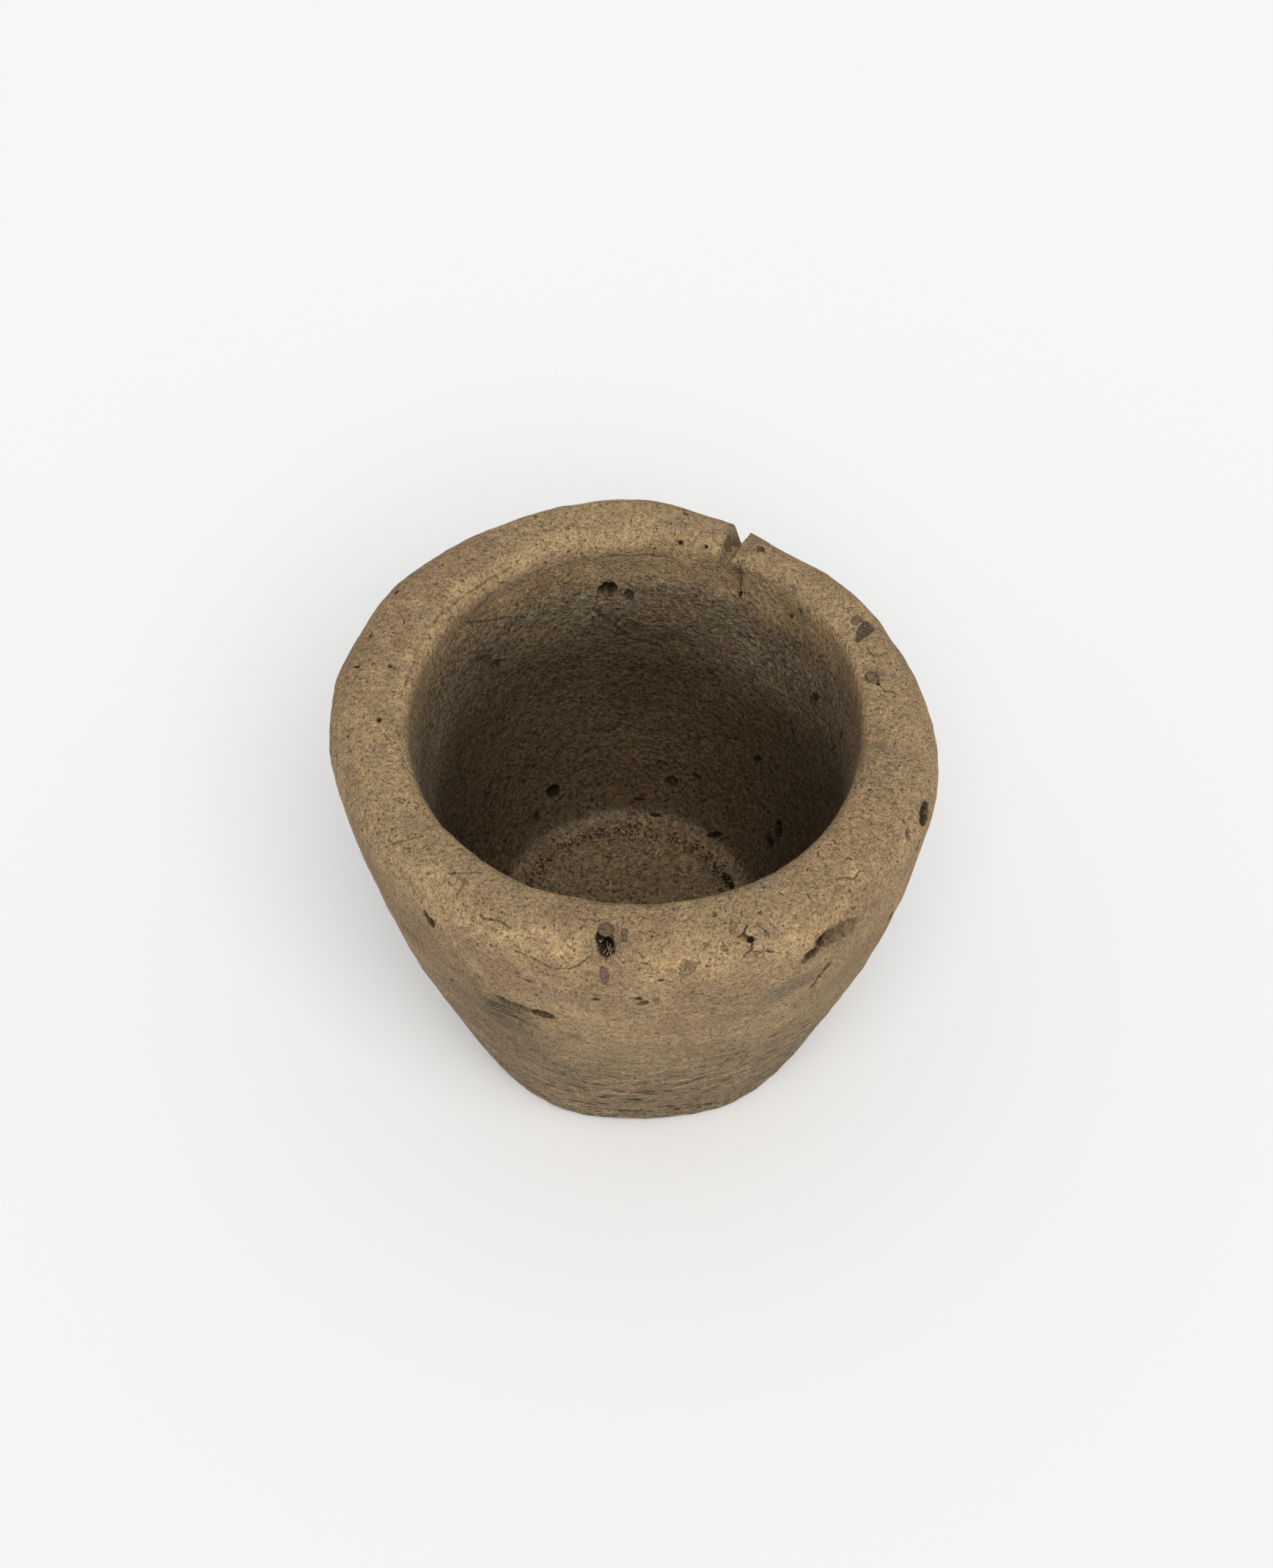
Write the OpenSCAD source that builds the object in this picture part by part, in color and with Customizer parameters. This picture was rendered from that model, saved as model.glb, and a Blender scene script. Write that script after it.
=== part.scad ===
// Hand-built mortar of straw-tempered clay: a thick rounded rim, a deep bowl and a narrower foot.
// Millimetres, +Z up, the origin on the ground under the middle of the vessel.
// Azimuths run anticlockwise from +X as seen from above, in degrees.

/* [Vessel] */
// Height from the foot to the top of the rim
height = 221; // [180:1:300]
// Mean radius of the shoulder, the widest place
shoulder_r = 141; // [115:1:170]
// Thickness of the wall between the shoulder and the mouth
rim_wall = 37; // [28:0.5:45]
// Mean radius of the foot
foot_r = 91; // [70:1:110]
// Radius of the rim's outer edge
rim_round = 17.5; // [12:0.5:22]
// Radius of the rim's inner edge
mouth_round = 7; // [3:0.5:9]
// Radius of the foot's edge
foot_round = 7; // [3:0.5:12]

/* [Bowl] */
// Thickness of the clay under the bowl
floor_thickness = 34.5; // [24:0.5:60]
// Radius of the bowl's level floor
floor_r = 60; // [48:1:70]

/* [Hand shaping] */
// Share by which the rim is oval
rim_oval = 0.044; // [0:0.001:0.06]
// Share by which the foot is oval, across the rim's oval
foot_oval = 0.051; // [0:0.001:0.07]
// Azimuth of the rim's longer axis
oval_azimuth = -36; // [-180:1:180]
// Share by which three lobes stand out all the way up
lobes = 0.013; // [0:0.001:0.03]
// Azimuth of one of the three lobes
lobe_azimuth = -33; // [-180:1:180]
// How far the foot's middle stands to the right of the rim's middle
foot_drift_x = 12.5; // [-15:0.5:15]
// How far the foot's middle stands behind the rim's middle
foot_drift_y = -5; // [-15:0.5:15]

/* [Breaks and holes] */
// Width of the notch broken across the rim
notch_w = 8; // [4:0.5:12]
// Depth of the notch
notch_depth = 9; // [4:0.5:14]
// Radius of the hole through the front of the rim's crust
front_hole_r = 3.3; // [2.5:0.1:5]
// Depth of that hole
front_hole_depth = 15; // [10:0.5:20]
// Radius of each end of the larger hole high in the bowl's back wall
back_hole_r = 3.2; // [2:0.1:5]
// Depth of that hole
back_hole_depth = 18; // [8:0.5:22]
// Length of the cavity on the right that holds a stone
cavity_l = 9.5; // [7:0.5:14]
// Width of the cavity
cavity_w = 5; // [3:0.5:6]
// Depth of the cavity
cavity_depth = 6; // [4:0.5:10]
// Share of the cavity that its stone fills
cavity_fill = 0.6; // [0.3:0.05:0.8]

/* [Stones and chips] */
// Length of the dark stone in the rim
rim_stone_l = 12.5; // [8:0.5:16]
// Width of the dark stone
rim_stone_w = 8; // [5:0.5:10]
// Length of the purple-brown chip below the front hole
front_chip_l = 8.5; // [5:0.5:12]
// Width of that chip
front_chip_w = 4.6; // [3:0.2:6]
// Depth to which the chips are bedded in the clay
chip_depth = 4; // [3:0.5:6]

/* [Straw and crumbs] */
// Radius of a straw stalk
stalk_r = 0.55; // [0.3:0.05:0.8]
// Number of crumbs round the floor
crumb_count = 44; // [12:1:60]

/* [Hidden] */
$fn = 48;

clay_colour = "#a3875f";
stone_colour = "#5d564c";
grog_colour = "#7a5d48";
purple_colour = "#6e5048";
pink_colour = "#a07f6a";
straw_colour = "#c8ae72";
crumb_colour = "#54432f";

mouth_r = shoulder_r - rim_wall;
floor_z = floor_thickness;
rim_x = -1;
rim_y = -1;
bowl_x = 1;
bowl_y = 0;
proud = 3;
lie_gap = 0.05;

// Points of a cubic curve between two ends, its first end left out
function curve(a, b, c, d, steps) = [
    for (i = [1:steps]) let (t = i / steps, s = 1 - t)
        s * s * s * a + 3 * s * s * t * b + 3 * s * t * t * c + t * t * t * d
];

// Points of an arc about a centre, from one angle to another
function arc(centre, r, from, to, steps) = [
    for (i = [0:steps]) let (a = from + (to - from) * i / steps)
        centre + r * [cos(a), sin(a)]
];

// ---- Outline of the outside: mean radius and height, from the ground to the top ----
foot_arc = arc([foot_r, foot_round], foot_round, -90, -20, 4);
wall_low = foot_arc[len(foot_arc) - 1];
wall_top = [shoulder_r, height - rim_round];
wall_reach = shoulder_r - foot_r;
wall_curve = curve(wall_low, [foot_r + 0.5 * wall_reach, 0.31 * height],
                   [shoulder_r - 2, 0.58 * height], wall_top, 9);
rim_arc = arc(wall_top - [rim_round, 0], rim_round, 15, 90, 5);
outline = concat(foot_arc, wall_curve, rim_arc);

// ---- Outline of the bowl, from the middle of the floor to the mouth ----
bowl_wall = curve([floor_r, floor_z], [mouth_r - 12, floor_z],
                  [mouth_r - 4, 0.54 * height], [mouth_r, height - mouth_round], 14);
mouth_arc = arc([mouth_r + mouth_round, height - mouth_round], mouth_round, 165, 90, 5);
bowl_outline = concat([[0, floor_z], [floor_r, floor_z]], bowl_wall, mouth_arc);

// Radius of an outline at a height, and its slope there
function radius_at(line, z) = lookup(z, [for (p = line) [p[1], p[0]]]);
function lean_at(line, z) = atan((radius_at(line, z + 2) - radius_at(line, z - 2)) / 4);

// Share by which the hand-shaped wall departs from round
function unevenness(azimuth, up) =
    (rim_oval * up - foot_oval * (1 - up)) * cos(2 * (azimuth - oval_azimuth))
    + lobes * cos(3 * (azimuth - lobe_azimuth));

// A point of the outside at an azimuth, a mean radius and a height
function skin(azimuth, r, z) = let (up = z / height, reach = r * (1 + unevenness(azimuth, up))) [
    rim_x + foot_drift_x * (1 - up) + reach * cos(azimuth),
    rim_y + foot_drift_y * (1 - up) + reach * sin(azimuth),
    z
];

// ---- Places on the surface: local +Z leaves the clay, local +Y runs anticlockwise ----
module at_side(azimuth, z) {
    translate(skin(azimuth, radius_at(outline, z), z))
        rotate([0, 90 + lean_at(outline, z), azimuth])
            children();
}

// On the rim's outer rounding, lift degrees up from the side towards the top
module at_shoulder(azimuth, lift) {
    centre = wall_top - [rim_round, 0];
    spot = centre + rim_round * [cos(lift), sin(lift)];
    translate(skin(azimuth, spot[0], spot[1]))
        rotate([0, 90 - lift, azimuth])
            children();
}

// On the flat top of the rim, a distance outwards from the mouth
module at_rim_top(azimuth, from_mouth) {
    translate(skin(azimuth, mouth_r + from_mouth, height))
        rotate([0, 0, azimuth])
            children();
}

module at_bowl(azimuth, z) {
    translate([bowl_x, bowl_y, 0])
        rotate([0, 0, azimuth])
            translate([radius_at(bowl_outline, z), 0, z])
                rotate([0, lean_at(bowl_outline, z) - 90, 0])
                    children();
}

module on_floor(azimuth, r) {
    translate([bowl_x, bowl_y, floor_z])
        rotate([0, 0, azimuth])
            translate([r, 0, 0])
                children();
}

// ---- Clay ----
module outer_form() {
    sides = 64;
    line = concat([[foot_r, -2]], outline, [[shoulder_r - rim_round, height + 2]]);
    rows = len(line);
    points = [for (p = line, j = [0:sides - 1]) skin(360 * j / sides, p[0], p[1])];
    walls = [
        for (i = [0:rows - 2], j = [0:sides - 1])
            let (a = i * sides + j, b = i * sides + (j + 1) % sides)
                for (face = [[a, a + sides, b + sides], [a, b + sides, b]]) face
    ];
    foot_cap = [for (j = [0:sides - 1]) j];
    top_cap = [for (j = [sides - 1:-1:0]) (rows - 1) * sides + j];
    reach = 2 * shoulder_r;
    intersection() {
        polyhedron(points, concat(walls, [foot_cap, top_cap]));
        translate([-reach, -reach, 0])
            cube([2 * reach, 2 * reach, height]);
    }
}

module bowl_space() {
    above = height + 5;
    translate([bowl_x, bowl_y, 0])
        rotate_extrude($fn = 180)
            polygon(concat(bowl_outline, [[mouth_r + mouth_round, above], [0, above]]));
}

module clay() {
    difference() {
        outer_form();
        bowl_space();
    }
}

// ---- Tools that left marks in the clay ----
// A round-ended trough along local Y
module gouge(long, wide, depth) {
    r = (wide * wide / 4 + depth * depth) / (2 * depth);
    run = max(long - wide, 0.2);
    translate([0, 0, r - depth]) {
        rotate([90, 0, 0])
            cylinder(h = run, r = r, center = true);
        for (side = [-1, 1])
            translate([0, side * run / 2, 0])
                sphere(r = r);
    }
}

module pit(r, depth) {
    translate([0, 0, -depth])
        cylinder(h = depth + proud, r = r);
}

// An angular bit of stone or fired clay, its flat outline facing out of the wall
module chip(long, wide, depth, corners, turn) {
    uneven = 0.16;
    translate([0, 0, -depth])
        linear_extrude(height = depth + proud)
            polygon([
                for (i = [0:corners - 1])
                    let (a = 360 * i / corners, k = 0.5 * (1 - uneven * (1 + sin(a * 2 + turn * 3))))
                        [k * (long * cos(a) * cos(turn) - wide * sin(a) * sin(turn)),
                         k * (long * cos(a) * sin(turn) + wide * sin(a) * cos(turn))]
            ]);
}

// ---- Beds: where each stone and chip sits ----
module rim_stone_bed() {
    at_rim_top(23.5, 17)
        chip(rim_stone_l, rim_stone_w, 2 * chip_depth, 5, 150);
}

module rim_grog_bed() {
    at_rim_top(29, 15)
        chip(6.4, 5, chip_depth, 6, 20);
}

module rim_crack_bed() {
    at_rim_top(9, 12)
        chip(7.5, 5.5, chip_depth, 6, 100);
}

module rim_pebble_bed() {
    at_rim_top(340.5, 12)
        chip(1.8, 1.5, 1.2, 6, 0);
}

module front_grog_bed() {
    at_shoulder(265, 10)
        chip(front_chip_l, front_chip_w, chip_depth, 7, 10);
}

module hole_chip_upper_bed() {
    at_shoulder(265, 80)
        chip(5, 3.6, chip_depth, 6, 60);
}

module hole_chip_right_bed() {
    at_shoulder(269.3, 66)
        chip(4.6, 3.4, chip_depth, 5, 35);
}

module front_rim_beds() {
    at_shoulder(280, 24)
        chip(7.5, 4.8, chip_depth, 6, 120);
    at_shoulder(287.2, 53)
        chip(4.4, 3.8, chip_depth, 7, 0);
    at_shoulder(283.8, 54)
        chip(3, 2, chip_depth, 5, 45);
    at_shoulder(290.6, 80)
        chip(5.6, 4, chip_depth, 6, 80);
    at_shoulder(293.4, 23)
        chip(5, 4.4, chip_depth, 7, 30);
}

module notch_grog_bed() {
    at_bowl(57, height - 27)
        chip(2.6, 2, 2, 6, 0);
}

module cavity_place() {
    at_shoulder(337.5, 38)
        rotate([0, 0, 75])
            children();
}

// ---- Nodes ----
module mortar_body() {
    color(clay_colour)
        difference() {
            clay();
            rim_stone_bed();
            rim_grog_bed();
            rim_crack_bed();
            rim_pebble_bed();
            front_grog_bed();
            hole_chip_upper_bed();
            hole_chip_right_bed();
            front_rim_beds();
            notch_grog_bed();
            rim_breaks();
            outer_marks();
            bowl_marks();
            cavity_place()
                pit_slot(cavity_l, cavity_w, cavity_depth);
            front_hole_place()
                pit(front_hole_r, front_hole_depth);
        }
}

// A straight-sided slot with round ends along local Y
module pit_slot(long, wide, depth) {
    run = long - wide;
    for (side = [-1, 1])
        translate([0, side * run / 2, 0])
            pit(wide / 2, depth);
    translate([-wide / 2, -run / 2, -depth])
        cube([wide, run, depth + proud]);
}

module front_hole_place() {
    at_shoulder(265.5, 51)
        children();
}

// The notch across the rim, the thumb-wide gouge beside it and a chip hole between them and the edge
module rim_breaks() {
    notch_run = rim_wall + 30;
    at_rim_top(64.5, 14)
        rotate([0, 4, -17])
            rotate([90, 0, 90])
                linear_extrude(height = notch_run, center = true)
                    polygon([
                        [-0.62 * notch_w, proud], [0.62 * notch_w, proud],
                        [0.2 * notch_w, -notch_depth], [-0.3 * notch_w, -notch_depth]
                    ]);
    at_bowl(59.5, height - 12)
        rotate([0, 0, 80])
            gouge(26, 7, 2.2);
    at_shoulder(57.5, 80)
        pit(1.6, 3);
}

module outer_marks() {
    // Trench with two hollows at the front right
    at_side(309, height - 21)
        rotate([0, 0, -28])
            gouge(17, 9, 5);
    at_side(304.6, height - 28)
        rotate([0, 0, -35])
            gouge(9, 6.5, 5);
    // Long scar at the front left, deepest at its right end
    at_side(247.5, height - 65)
        rotate([0, 0, -5])
            gouge(24, 4, 1.6);
    at_side(250.8, height - 64)
        gouge(9, 4.5, 4);
    // Hole beside the front hole, and lost grains of temper
    at_shoulder(263.2, 67)
        pit(1.6, 6);
    at_side(228, height - 26)
        pit(1.5, 4);
    at_side(262.7, height - 37)
        pit(0.9, 2.5);
    at_side(270.9, height - 32)
        pit(1.1, 2.5);
    at_shoulder(292.7, 53)
        pit(1.2, 3);
}

module bowl_marks() {
    // Two holes high in the back wall
    at_bowl(98, height - 33)
        for (side = [-1, 1])
            translate([0, side * 0.45 * back_hole_r, 0])
                pit(back_hole_r, back_hole_depth);
    at_bowl(92, height - 39.5)
        pit(0.8 * back_hole_r, 0.6 * back_hole_depth);
    // Pits left by lost straw and grit low in the wall
    at_bowl(120, floor_z + 18)
        pit(2.4, 9);
    at_bowl(130, floor_z + 11)
        rotate([0, 0, 40])
            pit_slot(5, 2, 3);
    at_bowl(72.5, floor_z + 18)
        pit_slot(6.5, 3, 3);
    at_bowl(85, floor_z + 7)
        pit(1.4, 3);
    at_bowl(64, floor_z + 24)
        pit_slot(5, 2, 3);
    at_bowl(24.5, floor_z + 31)
        rotate([0, 0, 70])
            pit_slot(9, 5, 5);
    at_bowl(24.5, floor_z + 20)
        pit(2, 4);
    // Crevice where the floor meets the wall
    on_floor(22, floor_r - 2)
        pit_slot(9, 3, 4);
}

module rim_stone() {
    color(stone_colour)
        intersection() {
            clay();
            rim_stone_bed();
        }
}

module rim_grog_chip() {
    color(grog_colour)
        intersection() {
            clay();
            rim_grog_bed();
        }
}

module rim_crack_chip() {
    color(grog_colour)
        intersection() {
            clay();
            rim_crack_bed();
        }
}

module rim_white_pebble() {
    color("white")
        intersection() {
            clay();
            rim_pebble_bed();
        }
}

module front_grog_chip() {
    color(purple_colour)
        intersection() {
            clay();
            front_grog_bed();
        }
}

module hole_chip_upper() {
    color(grog_colour)
        intersection() {
            clay();
            hole_chip_upper_bed();
        }
}

module hole_chip_right() {
    color(grog_colour)
        intersection() {
            clay();
            hole_chip_right_bed();
        }
}

module front_rim_chips() {
    color(grog_colour)
        intersection() {
            clay();
            front_rim_beds();
        }
}

module notch_grog_chip() {
    color(purple_colour)
        intersection() {
            clay();
            notch_grog_bed();
        }
}

// A round pebble's lower part, flat where it rests on the bottom of the cavity
module cavity_stone() {
    stone_h = cavity_fill * cavity_depth;
    color(pink_colour)
        cavity_place()
            translate([0, 0, -cavity_depth])
                linear_extrude(height = stone_h)
                    scale(cavity_fill)
                        polygon([for (a = [0:45:315]) [0.5 * cavity_w * cos(a), 0.5 * cavity_l * sin(a)]]);
}

// Broken stalks standing on the bottom of the front hole
module hole_straw() {
    ring = 0.55 * front_hole_r;
    color(straw_colour)
        front_hole_place()
            for (i = [0:3])
                translate([ring * cos(85 * i), ring * sin(85 * i), -front_hole_depth])
                    cylinder(h = front_hole_depth * (0.55 + 0.12 * i), r = stalk_r);
}

// Loose stalks lying on the floor: azimuth, distance in from the floor's edge, heading and length
module floor_straw() {
    stalks = [[84, 28, 20, 7], [61, 9, 110, 5], [74, 7, 60, 6], [150, 15, 15, 5],
              [196, 8, 140, 6], [228, 10, 70, 5], [120, 10, 95, 4], [40, 20, 35, 5]];
    color(straw_colour)
        for (s = stalks)
            on_floor(s[0], floor_r - s[1])
                translate([0, 0, stalk_r + lie_gap])
                    rotate([90, 0, s[2]])
                        cylinder(h = s[3], r = stalk_r, center = true);
}

// Dry crumbs of clay gathered where the floor meets the wall
module floor_crumbs() {
    ring_step = 360 / crumb_count;
    color(crumb_colour)
        for (i = [0:crumb_count - 1])
            on_floor(ring_step * (i + 0.3 * sin(97 * i)), floor_r - 3.5 - 1.5 * cos(131 * i))
                rotate([0, 0, 53 * i])
                    cylinder(h = 1.3 + 0.5 * sin(71 * i), r = 1.1 + 0.4 * sin(59 * i), $fn = 5 + i % 3);
}

mortar_body();
rim_stone();
rim_grog_chip();
rim_crack_chip();
rim_white_pebble();
front_grog_chip();
hole_chip_upper();
hole_chip_right();
front_rim_chips();
notch_grog_chip();
cavity_stone();
hole_straw();
floor_straw();
floor_crumbs();
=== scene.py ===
import math
import random

import bmesh
import bpy
import numpy as np
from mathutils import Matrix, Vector, kdtree, noise
from mathutils.bvhtree import BVHTree


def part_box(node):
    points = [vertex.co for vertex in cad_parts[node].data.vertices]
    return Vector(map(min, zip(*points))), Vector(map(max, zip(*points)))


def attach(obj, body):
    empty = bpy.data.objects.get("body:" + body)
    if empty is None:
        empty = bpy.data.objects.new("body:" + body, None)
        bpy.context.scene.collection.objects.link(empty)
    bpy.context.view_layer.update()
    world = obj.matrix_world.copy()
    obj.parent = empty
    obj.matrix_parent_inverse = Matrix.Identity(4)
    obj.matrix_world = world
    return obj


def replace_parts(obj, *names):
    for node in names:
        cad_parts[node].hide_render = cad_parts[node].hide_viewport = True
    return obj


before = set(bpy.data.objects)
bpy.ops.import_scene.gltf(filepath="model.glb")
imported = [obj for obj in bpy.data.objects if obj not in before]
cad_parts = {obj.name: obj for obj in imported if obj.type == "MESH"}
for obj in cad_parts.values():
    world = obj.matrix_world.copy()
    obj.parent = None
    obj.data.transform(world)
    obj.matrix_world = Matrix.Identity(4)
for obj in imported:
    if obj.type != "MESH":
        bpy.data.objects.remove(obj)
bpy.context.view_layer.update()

# ---- Mortar: its form ----
# A thick pot of clay tempered with chopped straw, raised by hand on a flat foot and left unglazed.
# Wall, rolled rim and pounding bowl are one mass, so it is one closed skin, worked out in millimetres.
mm = 0.001
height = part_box("mortar_body")[1].z / mm
shoulder_r = 140
foot_r = 91
rim_round = 17.5
foot_round = 7
mouth_r = 104
mouth_round = 7
floor_z = 34.5
floor_r = 60
rim_oval = 0.044
foot_oval = 0.051
oval_azimuth = -36
lobes = 0.013
lobe_azimuth = -33
rim_middle = Vector((-1, -1, 0))
foot_drift = Vector((12.5, -5, 0))
mouth_middle = Vector((2.6, -1.9, 0))
floor_middle = Vector((-3.0, 3.6, 0))


def arc(middle_r, middle_z, reach, start, end, steps=16):
    """Points of an arc in the outline, from one angle to another, as (radius, height)."""
    angles = [math.radians(start + (end - start) * i / steps) for i in range(steps + 1)]
    return [(middle_r + reach * math.cos(a), middle_z + reach * math.sin(a)) for a in angles]


def bow(start, pull_a, pull_b, end, steps=60):
    """Points of a cubic curve in the outline."""
    points = []
    for i in range(steps + 1):
        t = i / steps
        s = 1 - t
        shares = (s * s * s, 3 * s * s * t, 3 * s * t * t, t * t * t)
        pulls = (start, pull_a, pull_b, end)
        points.append(tuple(sum(k * p[axis] for k, p in zip(shares, pulls)) for axis in (0, 1)))
    return points


def evenly(line, step):
    """The same line with its points about a step apart."""
    r, z = np.array(line).T
    run = np.concatenate([[0], np.cumsum(np.hypot(np.diff(r), np.diff(z)))])
    stops = np.linspace(0, run[-1], round(run[-1] / step) + 1)
    return list(zip(np.interp(stops, run, r).tolist(), np.interp(stops, run, z).tolist()))


foot_edge = arc(foot_r, foot_round, foot_round, -90, -20)
shoulder = (shoulder_r, height - rim_round)
belly = bow(
    foot_edge[-1],
    (foot_r + 0.5 * (shoulder_r - foot_r), 0.31 * height),
    (shoulder_r - 2, 0.58 * height),
    shoulder,
)
rolled_rim = arc(shoulder_r - rim_round, height - rim_round, rim_round, 0, 90)
mouth_edge = arc(mouth_r + mouth_round, height - mouth_round, mouth_round, 90, 180)
bowl_wall = bow(
    mouth_edge[-1],
    (mouth_r - 4, 0.54 * height),
    (mouth_r - 12, floor_z),
    (floor_r, floor_z),
)
outside = foot_edge + belly[1:] + rolled_rim[1:]
inside = mouth_edge + bowl_wall[1:]
outline = (
    evenly([(0, 0), (foot_r, 0)], 9)
    + evenly(foot_edge + belly[1:], 3.4)[1:]
    + evenly(rolled_rim + mouth_edge, 2.2)[1:]
    + evenly(bowl_wall, 3)[1:]
    + evenly([(floor_r, floor_z), (0, floor_z)], 4)[1:]
)


def outside_r(z):
    return float(np.interp(z, [p[1] for p in outside], [p[0] for p in outside]))


def inside_r(z):
    return float(np.interp(z, [p[1] for p in inside[::-1]], [p[0] for p in inside[::-1]]))


def smooth(value, low, high):
    """0 below low, 1 above high, and an even rise between them."""
    t = min(max((value - low) / (high - low), 0), 1)
    return t * t * (3 - 2 * t)


def bowl_share(r, z):
    """0 on the outside of the pot, 1 in its bowl, and between them across the rim's top."""
    if z < floor_z - 1:
        return 0
    if z > height - 0.6 * mouth_round:
        return 1 - smooth(r, mouth_r + 0.5 * mouth_round, shoulder_r - rim_round)
    return 1 if r < 0.5 * (inside_r(z) + outside_r(z)) else 0


def soft_lip(azimuth):
    """How far the bowl's edge is rubbed to a broad soft slope: most at the back, none at the front."""
    return smooth(azimuth, 40, 75) * (1 - 0.75 * smooth(azimuth, 125, 175)) * (1 - smooth(azimuth, 200, 225))


def by_azimuth(azimuth, table):
    """The value at an azimuth in degrees, read from a table of azimuths and values."""
    return float(np.interp(azimuth % 360, *zip(*table)))


# How far the bowl's edge stands out from a true circle, by azimuth, and how far its rubbed lip spreads, how
# far it sinks and how deep into the bowl it reaches.
mouth_spread = [
    (0, 0.4), (165, 0), (185, 2), (215, 3.4), (240, 3.4), (270, 1.6), (305, 3.6), (330, 1.6), (360, 0.4),
]
lip_spread = 2.2
lip_sink = 4.2
lip_depth = 33


def hand_shaped(point):
    """Takes a point of the true round form to its place on the uneven pot."""
    azimuth = math.atan2(point.y, point.x)
    r = math.hypot(point.x, point.y)
    z = point.z
    up = z / height
    share = bowl_share(r, z)
    if share > 0 and z > height - 40:
        lip = soft_lip(math.degrees(azimuth) % 360)
        spread = by_azimuth(math.degrees(azimuth), mouth_spread)
        r += spread * smooth(z, height - 40, height - 12) * (1 - smooth(r, mouth_r + 2, mouth_r + 20))
        if z > height - mouth_round:
            r += lip_spread * lip * (1 - smooth(r, mouth_r, mouth_r + 16))
            z -= lip_sink * lip * (1 - smooth(r, mouth_r - 2, mouth_r + 20))
        else:
            edge = 1 - smooth(height - mouth_round - z, 0, lip_depth)
            r += lip_spread * lip * edge
            z -= lip_sink * lip * edge
    across = math.radians(oval_azimuth)
    three = math.radians(lobe_azimuth)
    uneven = (rim_oval * up - foot_oval * (1 - up)) * math.cos(2 * (azimuth - across))
    uneven += lobes * math.cos(3 * (azimuth - three))
    ray = Vector((math.cos(azimuth), math.sin(azimuth), 0))
    outer = rim_middle + foot_drift * (1 - up) + ray * r * (1 + uneven)
    rise = (z - floor_z) / (height - floor_z)
    inner = floor_middle.lerp(mouth_middle, rise) + ray * r
    placed = outer.lerp(inner, share)
    return Vector((placed.x, placed.y, z))


def turned(azimuth, r, z):
    """The point at an azimuth in degrees, a radius and a height."""
    a = math.radians(azimuth)
    return Vector((r * math.cos(a), r * math.sin(a), z))


# Places on the true round form, which hand_shaped takes to the pot: each is named for where it lies.
def on_wall(azimuth, z):
    return turned(azimuth, outside_r(z), z)


def on_shoulder(azimuth, lift):
    a = math.radians(lift)
    r = shoulder_r - rim_round + rim_round * math.cos(a)
    return turned(azimuth, r, height - rim_round + rim_round * math.sin(a))


def on_rim(azimuth, from_mouth):
    return turned(azimuth, mouth_r + from_mouth, height)


def in_bowl(azimuth, z):
    return turned(azimuth, inside_r(z), z)


def on_floor(azimuth, r):
    return turned(azimuth, r, floor_z)


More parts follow.
